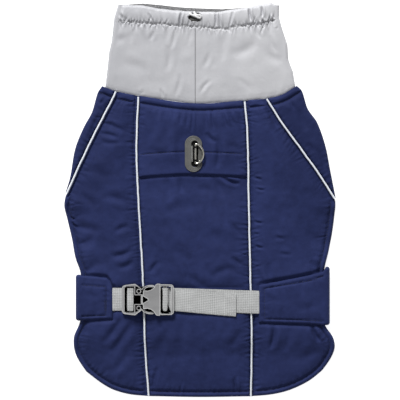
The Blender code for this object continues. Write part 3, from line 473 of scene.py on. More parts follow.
# cut lines of the coat seen from above, mm from its middle
cut = {
    "collarSeam": [(-106.8, 124.3), (-91.6, 118.6), (-67.1, 113.7), (-5.5, 105.4), (48.6, 108.6),
                   (72.3, 110.6), (88.9, 114.5), (105.7, 124.6)],
    "pipedLeft": [(-67.1, 113.7), (-68.7, 78.9), (-69.2, 51.2), (-67.1, 0.0), (-63.0, -69.8),
                  (-61.0, -122.1), (-59.5, -166.8), (-56.0, -214.4)],
    "pipedRight": [(48.6, 108.6), (51.7, 71.9), (53.1, 0.0), (54.9, -83.4), (56.4, -152.6),
                   (55.6, -214.6)],
    "slantLeft": [(-91.6, 118.6), (-94.6, 111.4), (-120.2, 61.5), (-145.2, 7.0)],
    "slantRight": [(72.3, 110.6), (91.8, 80.3), (111.2, 54.0), (131.9, 24.7), (146.6, 1.4)],
    "shoulderLeft": [(-106.8, 124.3), (-111.6, 117.0), (-117.9, 95.9), (-127.0, 79.0),
                     (-136.3, 55.6), (-141.7, 25.0), (-146.9, 7.5)],
    "shoulderRight": [(105.7, 124.6), (111.2, 119.0), (117.5, 99.8), (127.9, 84.5),
                      (136.9, 59.0), (142.0, 33.0), (148.0, 2.4)],
    "capeLeft": [(-146.8, 3.5), (-148.1, -7.0), (-145.0, -21.0), (-140.2, -41.4), (-135.9, -63.0),
                 (-130.6, -78.0), (-129.9, -88.0), (-129.9, -108.0), (-129.9, -126.0),
                 (-131.6, -135.0), (-137.6, -150.0), (-136.0, -168.0), (-124.3, -187.5)],
    "capeRight": [(147.6, -2.0), (147.7, -9.0), (144.6, -34.9), (140.6, -55.0), (136.2, -73.0),
                  (135.2, -84.0), (135.0, -108.0), (135.0, -131.0), (137.6, -138.6),
                  (145.2, -150.0), (147.2, -161.0), (143.2, -172.4), (133.4, -186.4)],
    "hemLeft": [(-124.3, -187.5), (-99.8, -205.0), (-78.9, -212.0), (-56.0, -214.4)],
    "hemMiddle": [(-56.0, -214.4), (0.0, -215.4), (55.6, -214.6)],
    "hemRight": [(55.6, -214.6), (77.8, -212.6), (97.3, -208.0), (118.2, -198.2), (133.4, -186.4)],
    "flap": [(-72.0, 24.9), (-45.0, 26.9), (-17.8, 28.3), (21.8, 27.3), (60.0, 25.2)],
    "chestLeft": [(-105.2, 121.0), (-115.8, 96.0), (-125.0, 78.0), (-134.2, 55.0), (-139.6, 23.0),
                  (-137.0, 12.0), (-120.0, 5.0), (-104.0, -5.0), (-97.0, -20.0), (-95.0, -34.0),
                  (-98.0, -48.0), (-108.0, -60.0), (-121.0, -70.0), (-128.6, -80.6)],
    "chestRight": [(104.0, 121.2), (115.6, 99.0), (125.8, 83.0), (134.8, 58.0), (140.0, 30.0),
                   (138.0, 12.0), (121.0, 5.0), (104.0, -5.0), (97.0, -20.0), (95.0, -34.0),
                   (99.0, -48.0), (110.0, -58.0), (125.0, -67.0), (134.4, -75.6)],
}


def joinedLines(first, second):
    return first + [point for point in second if point != first[-1]]


cut["edgeLeft"] = joinedLines(cut["capeLeft"], cut["hemLeft"])
cut["edgeRight"] = joinedLines(cut["capeRight"], cut["hemRight"][::-1])


def marksAlong(line):
    # how far along a line each of its points is
    return np.concatenate([[0], np.cumsum(np.linalg.norm(np.diff(line, axis=0), axis=1))])


def sideways(line):
    # at each point of a line, one unit to its left
    run = np.gradient(line, axis=0)
    return np.stack([-run[:, 1], run[:, 0]], 1) / np.linalg.norm(run, axis=1)[:, None]


def smoothLine(points, shares):
    # spots at the given shares of a smooth line through points
    knots = np.array(points, float)
    marks = marksAlong(knots)
    low = np.maximum(np.arange(len(knots)) - 1, 0)
    high = np.minimum(np.arange(len(knots)) + 1, len(knots) - 1)
    slopes = (knots[high] - knots[low]) / (marks[high] - marks[low])[:, None]
    reach = np.clip(np.asarray(shares, float), 0, 1) * marks[-1]
    i = np.clip(np.searchsorted(marks, reach, "right") - 1, 0, len(knots) - 2)
    span = (marks[i + 1] - marks[i])[:, None]
    t = (reach[:, None] - marks[i][:, None]) / span
    return (knots[i] * (2 * t ** 3 - 3 * t ** 2 + 1) + slopes[i] * span * (t ** 3 - 2 * t ** 2 + t)
            + knots[i + 1] * (3 * t ** 2 - 2 * t ** 3) + slopes[i + 1] * span * (t ** 3 - t ** 2))


def fineLine(points, count=160):
    return smoothLine(points, np.linspace(0, 1, count))


def shareAt(points, axis, value):
    # the share of a line at which its x (0) or y (1) has a value
    shares = np.linspace(0, 1, 2001)
    line = smoothLine(points, shares)[:, axis]
    order = np.argsort(line)
    return float(np.interp(value, line[order], shares[order]))


def alongLine(spots, line):
    # how far each spot is from a line, and how far along the line that is
    best = np.full(len(spots), 1e9)
    where = np.zeros(len(spots))
    start = 0.0
    for a, b in zip(line, line[1:]):
        run = b - a
        length = np.linalg.norm(run)
        share = np.clip((spots - a) @ run / length ** 2, 0, 1)
        away = np.linalg.norm(spots - a - share[:, None] * run, axis=1)
        closer = away < best
        best[closer] = away[closer]
        where[closer] = start + share[closer] * length
        start += length
    return best, where


def smoothStep(value):
    held = np.clip(value, 0, 1)
    return held * held * (3 - 2 * held)


def read(table, value):
    rows = np.array(table)
    return np.interp(value, rows[:, 0], rows[:, 1])


def lowNoise(spots, size, seed):
    # soft hills and dips about a size in mm across, from -1 to 1
    return np.array([noise.noise(Vector((x / size, y / size, seed * 3.7))) for x, y in spots])


def lineNoise(marks, size, seed, layer):
    # the same along a line
    return np.array([noise.noise(Vector((m / size, seed, layer))) for m in marks])


def creaseHeight(spots, rows):
    # each crease is a trough with a soft ridge on both sides, and it fades out at its ends
    total = np.zeros(len(spots))
    for x0, y0, x1, y1, depth, width in rows:
        run = np.array([x1 - x0, y1 - y0])
        length = np.hypot(*run)
        away = spots - [x0, y0]
        share = away @ run / length ** 2
        aside = (run[0] * away[:, 1] - run[1] * away[:, 0]) / length
        aside = aside - 0.07 * length * np.sin(np.pi * share) * math.sin(x0 + y0)
        fade = np.sin(np.pi * np.clip(share, 0, 1)) ** 0.8
        trough = np.exp(-(aside / width) ** 2)
        ridges = (0.5 * np.exp(-((aside - 1.9 * width) / (1.2 * width)) ** 2)
                  + 0.35 * np.exp(-((aside + 2.0 * width) / (1.3 * width)) ** 2))
        total += depth * fade * (ridges - trough)
    return total


def puckers(away, along, length, seed, pitch, reach, depth):
    # short creases that leave a seam at uneven places, where its thread draws the cloth in
    dice = np.random.default_rng(seed)
    total = np.zeros(len(away))
    at = pitch * 0.5
    while at < length:
        deep = depth * dice.uniform(0.2, 1.0)
        wide = pitch * dice.uniform(0.16, 0.32)
        far = reach * dice.uniform(0.45, 1.25)
        slant = dice.uniform(-0.45, 0.45)
        aside = (along - at - slant * away) / (wide * (1 + 0.5 * away / far))
        grow = smoothStep((away - 0.2) / 1.2) * np.exp(-(away / far) ** 2)
        total += deep * grow * (0.5 * np.exp(-((np.abs(aside) - 1.7) / 0.8) ** 2) - np.exp(-aside ** 2))
        at += pitch * dice.uniform(0.5, 1.6)
    return total


def spread(length, cell, ends=(0, 0.35, 0.8, 1.4, 2.1, 3.0)):
    # shares along a length, closer together near both ends
    ends = np.array(ends)
    count = max(2, int((length - 2 * ends[-1]) / cell))
    inner = np.linspace(ends[-1], length - ends[-1], count + 1)
    return np.concatenate([ends[:-1], inner, length - ends[:-1][::-1]]) / length


def coonsPatch(left, right, top, bottom, us, vs):
    # spots between four lines, each given as its points and the stretch used; left and right run down
    def along(side, shares):
        points, start, end = side
        return smoothLine(points, start + (end - start) * shares)
    l, r, t, b = along(left, vs), along(right, vs), along(top, us), along(bottom, us)
    u, v = us[None, :, None], vs[:, None, None]
    sides = l[:, None] * (1 - u) + r[:, None] * u + t[None] * (1 - v) + b[None] * v
    corners = (t[0] * (1 - u) + t[-1] * u) * (1 - v) + (b[0] * (1 - u) + b[-1] * u) * v
    return sides - corners


# heights of the padded back, in mm
padding = {
    "lift": 3.4,        # underside of the back, where it lies on the under layer
    "full": 4.2,        # thickness away from the seams
    "puff": 2.0,        # how far it stands up in the middle of a panel
    "puffReach": 24,    # from its seams to there
    "waves": (1.0, 27), # slow hills and dips: height and size
    "dents": (0.34, 8), # small ones
    "thinnest": 0.5,
    "folds": 1.5,       # how deep the creases are, of their own depth
    "drawn": 1.5,       # and the puckers at the seams
    "cells": (1.2, 0.85),       # size of a cell of the cloth, across and along
}
stitchedAt = {"neck": 7.6, "hem": 5.4}      # stitch lines of the turned edges, mm in

# thickness at a distance in from each kind of edge
profiles = {
    "seam": [(0, 0.5), (3.1, 0.6), (4.1, 2.0), (5.6, 3.0), (9, 3.7), (14, 4.2)],
    "crisp": [(0, 1.0), (1.4, 1.2), (2.3, 2.7), (4, 3.6), (9, 4.2)],
    "neck": [(0, 2.0), (0.8, 3.2), (3.2, 4.2), (5.6, 3.6), (7.0, 2.0), (7.8, 1.5), (8.8, 2.3),
             (11, 3.8), (17, 4.4)],
    "hem": [(0, 0.8), (0.5, 2.0), (2.0, 3.4), (3.4, 3.4), (4.7, 2.2), (5.4, 1.5), (6.3, 2.4),
            (9, 3.9), (14, 4.4)],
    "fold": [(0, 0.7), (0.6, 2.0), (2.2, 3.3), (5, 4.0), (10, 4.2)],
    "valley": [(0, 0.5), (3.4, 0.6), (4.4, 1.8), (6.6, 2.7), (11, 3.6), (16, 4.2)],
    "flap": [(0, 2.6), (0.5, 3.4), (1.6, 3.9), (8, 4.0), (22.6, 4.1), (23.5, 3.4), (24.0, 3.1),
             (24.6, 3.6), (25.6, 4.1), (29, 4.2)],
}

# creases: both ends, depth and half width, mm
creases = {
    "yoke": [(-20.7, 99, -21.8, 82, 0.8, 1.7), (-7.6, 99, -8.9, 73, 0.9, 1.5),
             (-14, 98, -15.5, 77, 0.6, 2), (-3.3, 97, -3, 75, 0.5, 1.6), (5.5, 98, 6.8, 74, 0.7, 2.2),
             (13, 99, 15.8, 77, 0.9, 1.6), (24, 99, 30, 79, 0.9, 1.6), (31.6, 99, 37.5, 82, 0.8, 1.6),
             (39.2, 99, 47.4, 78, 1.0, 1.8), (18.5, 71, 18.2, 34, 1.4, 3.2),
             (6.6, 73.5, 17, 62, 1.2, 2.4), (-38, 97, -36, 62, 0.8, 4), (-52, 97, -50, 68, 0.6, 4),
             (-24, 66, -19, 36, 0.7, 3), (-29, 99, -28, 88, 0.5, 1.6), (-45, 99, -46, 86, 0.4, 1.8),
             (30, 60, 46, 52, 0.6, 3.4), (-60, 58, -36, 50, 0.5, 4)],
    "centre": [(23, 26, 43, 17, 1.7, 2.0), (14, 25, 25, 3, 1.0, 4), (-37, 25, -32, -2, 0.8, 4),
               (-21.8, 25, -19.4, 7, 0.9, 3), (-40, -14, 2, -4, 0.7, 6), (-35, -36, -12, -69, 0.8, 6),
               (-55, -80, -45, -66, 1.1, 2.6), (-15, -80, 8, -95, 0.9, 4), (32, -22, 46, -40, 0.9, 2.6),
               (34, -62, 45.5, -71, 1.0, 2.4), (4, -30, 30, -48, 0.7, 6), (-18.5, -127, -17.2, -181, 1.0, 5),
               (-46.4, -182, -50.4, -212, 1.1, 2), (5.5, -162, 6.8, -203, 0.8, 5),
               (38, -192, 38.4, -212, 1.1, 1.8), (34, -160, 44, -142, 0.8, 4),
               (-36, -140, -44, -167, 0.9, 5), (-4, 12, 18, 8, 0.5, 4), (10, -84, 40, -74, 0.8, 4),
               (16, -205, 17, -213, 0.6, 1.4), (-22, -203, -22.6, -213, 0.6, 1.4)],
    "left": [(-144, -2, -139, -28, 1.4, 1.5), (-141.5, -18, -136, -22, 1.0, 1.2),
             (-141, -24, -134, -30, 0.9, 1.3), (-106, 83.5, -82, 75, 0.9, 2.5),
             (-110, 73, -88, 67, 0.7, 2), (-108, 63, -86, 62.6, 0.6, 2.4), (-105, 5, -78, -3, 0.9, 4),
             (-138, -30, -108, -36, 1.2, 5), (-134, -50, -113, -40, 1.0, 5), (-94, -36, -76, -28, 0.9, 3),
             (-97, -62, -73, -54, 1.1, 3), (-90, -75, -72, -67, 1.0, 3), (-110, -66, -125, -79, 0.8, 4),
             (-84, -127, -106, -157, 1.5, 4), (-72, -132, -97, -168, 1.2, 4),
             (-78, -165, -97, -189, 0.9, 4), (-126.4, -134, -128.6, -163, 0.8, 3),
             (-122, 36, -102, 22, 0.7, 5), (-130, 8, -112, -8, 0.8, 4), (-86, 48, -78, 24, 0.7, 4)],
    "right": [(58.2, 24.4, 67.5, 21.6, 1.0, 1.3), (60, 13.2, 70.6, 10.6, 0.9, 1.2),
              (58, -22.4, 68.6, -25.4, 1.0, 1.3), (59.4, -49.6, 68.8, -52.6, 1.0, 1.3),
              (58.6, -36, 65, -37.6, 0.7, 1.2), (81, -40, 92.6, -42.8, 0.8, 2), (86, -57, 100, -60, 0.6, 2),
              (71.6, 101, 84, 79, 1.2, 2.2), (76, 97, 93, 64, 1.1, 3), (73, -69, 83, -95, 1.3, 4),
              (63, -76, 70, -96, 0.9, 3), (98, 55, 115, 15, 0.8, 6), (108, -15, 130, -51, 0.9, 6),
              (80.8, -135, 77, -163, 1.9, 2.8), (121.5, -135, 131, -155, 2.4, 2.3),
              (98, -135, 93, -165, 0.9, 4), (67.6, -156, 67.4, -192, 0.8, 3),
              (108, -177, 129, -162, 0.8, 5), (120, -66, 132, -80, 1.3, 3), (84, 30, 92, 0, 0.6, 6)],
    "shoulderLeft": [(-108.6, 94, -118, 70, 0.9, 3), (-126, 56, -118, 44, 0.8, 3),
                     (-134, 38, -128, 24, 0.7, 2.4), (-104, 112, -109, 104, 0.7, 1.6)],
    "shoulderRight": [(108, 99, 116, 75, 0.8, 4), (128, 56, 136, 26, 0.9, 3),
                      (99, 108, 103, 98, 0.7, 1.8), (116, 62, 124, 52, 0.6, 3)],
}

# belly band: one strip from the left tab, round the coat's side and under it, to the right tab
band = {
    "tabLeft": [(-94.9, -95.3, -129.4), (-97.6, -88.8, -129.6), (-101.4, -84.9, -129.8),
                (-114.0, -83.4, -130.4), (-130.0, -82.2, -131.3)],          # x, top, bottom
    "tabRight": [(64.0, -93.2, -133.2), (67.0, -91.9, -133.4), (83.4, -88.9, -134.0),
                 (101.0, -85.6, -134.6), (118.2, -82.1, -135.2), (136.0, -77.4, -136.2)],
    "inside": 8.0,      # underside of the tabs
    "round": 2.5,       # inner radius round the sides
    "folds": (-130.0, 136.0),
    "long": (35, 72),           # of the tabs
    "rise": (0.8, 4.6),         # how far its upper edge climbs as it goes round each side
    "thick": 3.6,       # thickest place
    "cell": 1.3,
    "profile": [(0, 1.0), (0.5, 2.0), (2.0, 3.0), (14, 3.2)],
    "flat": (0.400, 0.059), "area": 0.0207,
}

# what lies on the back and presses it down, the strap and the plate: x and y range, and how softly
presses = {"strap": (-100, 66, -121.5, -95, 5.5), "plate": (-15.0, 1.0, 33, 67, 15)}


def fromPress(spots, name):
    x0, x1, y0, y1, soft = presses[name]
    aside = np.maximum(np.maximum(x0 - spots[:, 0], spots[:, 0] - x1), 0)
    above = np.maximum(np.maximum(y0 - spots[:, 1], spots[:, 1] - y1), 0)
    return np.hypot(aside, above) / soft


def fromTab(spots, side):
    # how far a spot is from a tab, and whether it is above it
    rows = np.array(sorted(band[side]))
    top, bottom = [np.interp(spots[:, 0], rows[:, 0], rows[:, k]) for k in (1, 2)]
    inner = rows[-1, 0] if side == "tabLeft" else rows[0, 0]
    aside = np.maximum(0, (spots[:, 0] - inner) * (1 if side == "tabLeft" else -1))
    above = np.maximum(np.maximum(spots[:, 1] - top, bottom - spots[:, 1]), 0)
    return np.hypot(aside, above), spots[:, 1] > top


def freeToRise(spots):
    free = smoothStep(fromPress(spots, "plate")) * (1 - np.exp(-fromPress(spots, "strap")))
    for side in ("tabLeft", "tabRight"):
        free *= smoothStep(fromTab(spots, side)[0] / 6)
    return free


def swollen(spots):
    # the padding that the strap and the tabs push up along their edges
    away = fromPress(spots, "strap") * presses["strap"][4]
    total = (1 - np.exp(-away / 3)) * np.exp(-(away / 16) ** 2)
    for side in ("tabLeft", "tabRight"):
        away, above = fromTab(spots, side)
        total += np.where(above, 1.5, 0.8) * smoothStep((away - 0.6) / 4) * np.exp(-(away / 11) ** 2)
    return total


def backFloor(spots):
    # the underside of the back: on the under layer, and down on the ground beyond it
    x, y = spots[:, 0], spots[:, 1]
    pastBand = smoothStep((y + 172) / 26)
    legRows = smoothStep((y + 62) / 18) * smoothStep((-1 - y) / 18)
    legSide = smoothStep((np.abs(x) - 108) / 24)
    return padding["lift"] * pastBand * (1 - legRows * legSide)


# the yoke's loose flap, over the top of the centre panel, mm
flap = {
    "at": 25.6,             # its edge's y at both seams
    "reach": 18.5,          # how far the centre panel goes up under it
    "covered": (0.6, 1.1),  # that panel's thickness at the seams, and what it gains away from them
    "aside": 12.0,          # how far from the seams that is
    "gap": 0.35,            # from that panel up to the yoke
    "lifted": (21.6, 2.6),  # from where on, and how softly, the yoke comes down to the under layer
    "lip": (1.8, 10.0),     # how high its free edge stands up, and its reach
    "furrow": (1.1, 0.5, 1.0, 1.8),     # along its edge: depth, how that varies, place and width
    "opens": 48.0,          # how slowly the centre panel rises beyond it
}


def overFlapEdge(spots):
    return spots[:, 1] - read(cut["flap"], spots[:, 0])


def besidePiping(spots):
    # 0 at the two long seams, and 1 in the middle
    aside = np.minimum(alongLine(spots, fineLine(cut["pipedLeft"]))[0],
                       alongLine(spots, fineLine(cut["pipedRight"]))[0])
    return smoothStep(aside / flap["aside"])


def flapLip(spots):
    # the flap's free edge stands up a little
    high, reach = flap["lip"]
    return high * np.exp(-(overFlapEdge(spots) / reach) ** 2) * besidePiping(spots)


def flapCover(spots):
    # top of the centre panel where the flap covers it, over its floor
    atSeam, gained = flap["covered"]
    return atSeam + gained * besidePiping(spots) + flapLip(spots)


def yokeFloor(spots):
    start, soft = flap["lifted"]
    lifted = 1 - smoothStep((overFlapEdge(spots) - start) / soft)
    return backFloor(spots) + lifted * (flapCover(spots) + flap["gap"])


# each panel: its node, cut size, creases, and for each edge its profile and its puckers' pitch,
# reach and depth
panels = {
    "centrePanel": {"node": "back_centre", "creases": "centre", "seed": 3,
                    "flat": (0.127, 0.262), "area": 0.0299,
                    "edges": [("pipedLeft", "crisp", 5.0, 9, 0.35), ("pipedRight", "crisp", 4.2, 9, 0.55),
                              ("hemMiddle", "hem", 5.5, 9, 0.4)]},
    "yokePanel": {"node": "yoke", "creases": "yoke", "seed": 5,
                  "flat": (0.124, 0.090), "area": 0.0100,
                  "edges": [("pipedLeft", "crisp", 5.0, 7, 0.3), ("pipedRight", "crisp", 4.2, 8, 0.5),
                            ("collarSeam", "neck", 4.6, 13, 0.24), ("flap", "flap", 9, 6, 0.12)]},
    "sideLeftPanel": {"node": "side_left", "creases": "left", "seed": 7,
                      "flat": (0.090, 0.335), "area": 0.0246,
                      "edges": [("pipedLeft", "valley", 3.3, 9, 0.55), ("slantLeft", "seam", 4.6, 9, 0.45),
                                ("edgeLeft", "hem", 6.0, 10, 0.45), ("collarSeam", "neck", 5.5, 14, 0.3)]},
    "sideRightPanel": {"node": "side_right", "creases": "right", "seed": 11,
                       "flat": (0.094, 0.335), "area": 0.0262,
                       "edges": [("pipedRight", "seam", 4.4, 9, 0.7), ("slantRight", "valley", 4.0, 11, 0.4),
                                 ("edgeRight", "hem", 6.0, 10, 0.45), ("collarSeam", "neck", 5.5, 14, 0.3)]},
    "shoulderLeftPanel": {"node": "shoulder_left", "creases": "shoulderLeft", "seed": 13,
                          "flat": (0.024, 0.126), "area": 0.0018,
                          "edges": [("slantLeft", "crisp", 5.0, 8, 0.4),
                                    ("shoulderLeft", "fold", 6.0, 8, 0.35),
                                    ("collarSeam", "neck", 5.5, 13, 0.5)]},
    "shoulderRightPanel": {"node": "shoulder_right", "creases": "shoulderRight", "seed": 17,
                           "flat": (0.036, 0.130), "area": 0.0033,
                           "edges": [("slantRight", "crisp", 5.0, 8, 0.4),
                                     ("shoulderRight", "fold", 6.0, 8, 0.35),
                                     ("collarSeam", "neck", 5.5, 13, 0.5)]},
}


def panelSpots(name):
    # the grid of a back panel between its own cut lines
    seam = cut["collarSeam"]
    pipes = ("pipedLeft", "pipedRight")
    flapLeft, flapRight = [shareAt(cut[k], 1, flap["at"]) for k in pipes]
    underLeft, underRight = [shareAt(cut[k], 1, flap["at"] + flap["reach"]) for k in pipes]
    at = {k: shareAt(seam, 0, cut[k][0][0]) for k in ("slantLeft", *pipes, "slantRight")}

    def across(leftShare, rightShare, raised):
        ends = [tuple(smoothLine(cut[k], [s])[0]) for k, s in zip(pipes, (leftShare, rightShare))]
        return [ends[0], *[(x, y + raised) for x, y in cut["flap"][1:-1]], ends[1]]

    footLeft, footRight = (-145.6, 8.0), (146.0, 2.6)       # where the shoulders end
    # left, right, top and bottom lines, each with the stretch used, then size across and along
    lines = {
        "centrePanel": ((cut["pipedLeft"], underLeft, 1), (cut["pipedRight"], underRight, 1),
                        (across(underLeft, underRight, flap["reach"]), 0, 1),
                        (cut["hemMiddle"], 0, 1), 118, 262),
        "yokePanel": ((cut["pipedLeft"], 0, flapLeft), (cut["pipedRight"], 0, flapRight),
                      (seam, at["pipedLeft"], at["pipedRight"]),
                      (across(flapLeft, flapRight, 0), 0, 1), 120, 84),
        "sideLeftPanel": ((joinedLines(cut["slantLeft"], cut["capeLeft"]), 0, 1), (cut["pipedLeft"], 0, 1),
                          (seam, at["slantLeft"], at["pipedLeft"]), (cut["hemLeft"], 0, 1), 80, 330),
        "sideRightPanel": ((cut["pipedRight"], 0, 1),
                           (joinedLines(cut["slantRight"], cut["capeRight"]), 0, 1),
                           (seam, at["pipedRight"], at["slantRight"]), (cut["hemRight"], 0, 1), 86, 330),
        "shoulderLeftPanel": ((cut["shoulderLeft"], 0, 1), (cut["slantLeft"][:-1] + [footLeft], 0, 1),
                              (seam, 0, at["slantLeft"]), ([(-146.9, 7.5), footLeft], 0, 1), 20, 118),
        "shoulderRightPanel": ((cut["slantRight"][:-1] + [footRight], 0, 1), (cut["shoulderRight"], 0, 1),
                               (seam, at["slantRight"], 1), ([footRight, (148.0, 2.4)], 0, 1), 30, 118),
    }
    *sides, wide, long = lines[name]
    return coonsPatch(*sides, *[spread(*pair) for pair in zip((wide, long), padding["cells"])])


def panelHeights(spots, panel):
    # the top of a padded panel over its floor
    free = freeToRise(spots)
    thick = np.full(len(spots), padding["full"])
    nearest = np.full(len(spots), 1e9)
    drawn = np.zeros(len(spots))
    for k, (line, profile, pitch, reach, depth) in enumerate(panel["edges"]):
        away, along = alongLine(spots, fineLine(cut[line]))
        thick = np.minimum(thick, read(profiles[profile], away))
        nearest = np.minimum(nearest, away)
        stitched = stitchedAt.get(profile, 0)
        gather = puckers(np.abs(away - stitched), along, along.max() + pitch, panel["seed"] + k,
                         pitch, reach, depth)
        drawn += gather * np.where(away < stitched, 0.3, 1)
    inner = smoothStep((nearest - 1) / 12)
    puff = padding["puff"] * smoothStep(nearest / padding["puffReach"]) * free
    (wave, waveSize), (dent, dentSize) = padding["waves"], padding["dents"]
    waves = wave * lowNoise(spots, waveSize, panel["seed"]) * inner * (0.25 + 0.75 * free)
    dents = dent * lowNoise(spots, dentSize, panel["seed"] + 40) * inner
    folded = creaseHeight(spots, creases[panel["creases"]]) * smoothStep(nearest / 5)
    moved = padding["drawn"] * drawn + padding["folds"] * folded + waves + dents
    moved = np.where(moved > 0, moved * (0.15 + 0.85 * free), moved)      # pressed cloth rises less
    top = np.maximum(thick + puff + moved + swollen(spots) * inner, padding["thinnest"])
    if panel["node"] == "back_centre":      # low under the flap, and slow to rise beyond its edge
        below = -0.4 - overFlapEdge(spots)
        deep, varied, place, width = flap["furrow"]
        depth = deep + varied * np.sin(spots[:, 0] / 7.5 + 0.9) * np.cos(spots[:, 0] / 19)
        covered = np.minimum(flapCover(spots), top) - depth * np.exp(-((below - place) / width) ** 2)
        covered += padding["folds"] * folded * smoothStep(below / 2)
        top = covered + (top - covered) * smoothStep(below / flap["opens"])
    return np.maximum(top, padding["thinnest"])


for name, panel in panels.items():
    spots = panelSpots(name)
    rows, columns = spots.shape[:2]
    flat = spots.reshape(-1, 2)
    underside = yokeFloor if panel["node"] == "yoke" else backFloor
    heights = backFloor(flat) + panelHeights(flat, panel)
    if panel["node"] == "yoke":
        heights = np.maximum(heights + flapLip(flat), underside(flat) + flap["gap"])
    piece = gridPiece(name, np.dstack([spots, heights.reshape(rows, columns)]))
    closeBelow(piece, underside)
    shadeSmooth(piece, 50)
    dress(piece, "navy_cloth", "shell", node=panel["node"])
    panel["piece"] = piece
    print(name, len(piece.data.polygons), "faces, lies on", round(halfSurface(piece), 5), "m2")


# chest panel, the under layer, with its two leg openings
chest = {"full": 2.9, "flat": (0.285, 0.205), "area": 0.0425, "cell": 3.0,
         "profile": [(0, 0.8), (0.7, 1.7), (2.2, 2.1), (5, 1.7), (8, 2.6), (14, 2.9)]}


def makeChest():
    ends = [shareAt(cut["collarSeam"], 0, cut[k][0][0]) for k in ("chestLeft", "chestRight")]
    spots = coonsPatch((cut["chestLeft"], 0, 1), (cut["chestRight"], 0, 1), (cut["collarSeam"], *ends),
                       ([cut["chestLeft"][-1], cut["chestRight"][-1]], 0, 1),
                       spread(240, chest["cell"]), spread(250, chest["cell"]))
    rows, columns = spots.shape[:2]
    flat = spots.reshape(-1, 2)
    edges = [alongLine(flat, fineLine(cut[k]))[0] for k in ("chestLeft", "chestRight")]
    heights = read(chest["profile"], np.minimum(*edges)) + 0.08 * lowNoise(flat, 22, 23)
    piece = gridPiece("chestPanel", np.dstack([spots, heights.reshape(rows, columns)]))
    closeBelow(piece, lambda spots: np.zeros(len(spots)))
    shadeSmooth(piece, 50)
    print("chest panel lies on", round(halfSurface(piece), 5), "m2")
    return dress(piece, "navy_cloth", "shell", node="chest_panel")


chest["piece"] = makeChest()


# stitch lines of the tabs, mm
topstitch = {
    "tabLeft": [(-128, -92.6), (-112, -93.6), (-102.4, -94.4), (-102.0, -99), (-102.4, -125.6),
                (-112, -125.9), (-128, -126.6)],
    "tabRight": [(134, -83.0), (120, -87.6), (97, -91.6), (70.2, -96.4), (70.2, -103), (70.4, -129.4),
                 (98, -130.2), (134, -131.8)],
}
creases["band"] = [
    (-124, -84, -121, -101, 0.7, 2.4), (-117, -130, -113, -112, 0.6, 3), (-129, -100, -110, -106, 0.5, 3),
    (78, -92, 84, -104, 0.7, 2.2), (92, -134, 89, -116, 0.7, 2.6), (110, -86, 113, -103, 0.6, 3),
    (124, -134, 118, -112, 0.8, 3), (66, -108, 90, -111, 0.5, 3.4), (104, -119, 132, -112, 0.6, 4)]


def makeBand():
    left, right = np.array(band["tabLeft"]), np.array(band["tabRight"])
    inside, bend = band["inside"], band["round"]
    foldLeft, foldRight = band["folds"]
    longLeft, longRight = band["long"]

    def bent(fold, side):
        # half a turn round one side of the coat, from the top down
        turns = [math.pi * k / 10 for k in range(1, 10)]
        return [(fold + side * bend * math.sin(a), inside - bend * (1 - math.cos(a)), 0, fold) for a in turns]

    # along the strip: x, height, whether it is under the coat, and where its width is read
    onTop = [foldLeft + (left[0, 0] - foldLeft) * spread(longLeft, band["cell"])[::-1],
             foldRight + (right[0, 0] - foldRight) * spread(longRight, band["cell"])]
    below = foldLeft + (foldRight - foldLeft) * np.linspace(0, 1, 90)
    stations = [*[(x, inside, 0, x) for x in onTop[0]], *bent(foldLeft, -1),
                *[(x, inside - 2 * bend, 1, x) for x in below],
                *bent(foldRight, 1)[::-1], *[(x, inside, 0, x) for x in onTop[1]]]
    x, z, under, at = np.array(stations).T
    onLeft = np.arange(len(x)) < len(x) / 2
    tops, bottoms = [np.where(under > 0,
                              np.interp(at, [foldLeft, foldRight], [left[-1, k], right[-1, k]]),
                              np.where(onLeft, np.interp(at, left[::-1, 0], left[::-1, k]),
                                       np.interp(at, right[:, 0], right[:, k]))) for k in (1, 2)]
    for fold, rise, side in ((foldLeft, band["rise"][0], -1), (foldRight, band["rise"][1], 1)):
        tops = tops + rise * smoothStep(((x - fold) * side + 3) / (bend + 3)) * (under == 0)
    shares = spread(48, band["cell"])
    ys = tops[None] + (bottoms - tops)[None] * shares[:, None]
    xs, zs = [np.broadcast_to(row, ys.shape) for row in (x, z)]
    spots = np.dstack([xs, ys, zs])
    # thickness at each spot, less at the edges and along the stitches
    away = np.minimum(tops[None] - ys, ys - bottoms[None])
    ends = np.where(onLeft, left[0, 0] - x, x - right[0, 0])
    away = np.where(under[None] > 0, away, np.minimum(away, np.where(ends < 0, 1e9, ends)[None]))
    thick = read(band["profile"], np.maximum(away, 0))
    flat = np.stack([xs.ravel(), ys.ravel()], 1)
    folds = creaseHeight(flat, creases["band"]) * smoothStep(away.ravel() / 5)
    for k, points in enumerate(topstitch.values()):
        near, along = alongLine(flat, np.array(points, float))
        folds += -1.35 * np.exp(-(near / 0.95) ** 2)
        folds += puckers(near, along, along.max() + 5, 31 + k, 5.0, 6, 0.6)
    waves = 0.45 * lowNoise(flat, 18, 29) + 0.16 * lowNoise(flat, 7, 30)
    onTop = (under[None] == 0) & (np.broadcast_to(z[None], ys.shape) > inside - 1)
    puff = 0.5 * smoothStep(away / 12)
    thick = np.where(onTop, thick + puff + (folds + waves).reshape(ys.shape) * smoothStep(away / 3),
                     np.minimum(thick, 3.0))
    thick = np.clip(thick, 0.9, 4.4)
    piece = gridPiece("bellyBand", spots)
    weights = (thick / band["thick"])[::-1].ravel()
    editing(piece, pickAll, faceOutward)
    if piece.data.polygons[0].normal.z < 0:
        editing(piece, pickAll, lambda: bpy.ops.mesh.flip_normals())
    thicken(piece, band["thick"] * weights.max(), 1, 0, weights / weights.max())
    shadeSmooth(piece, 50)
    print("belly band lies on", round(halfSurface(piece), 5), "m2")
    return dress(piece, "navy_cloth", "shell", node="belly_band")


band["piece"] = makeBand()


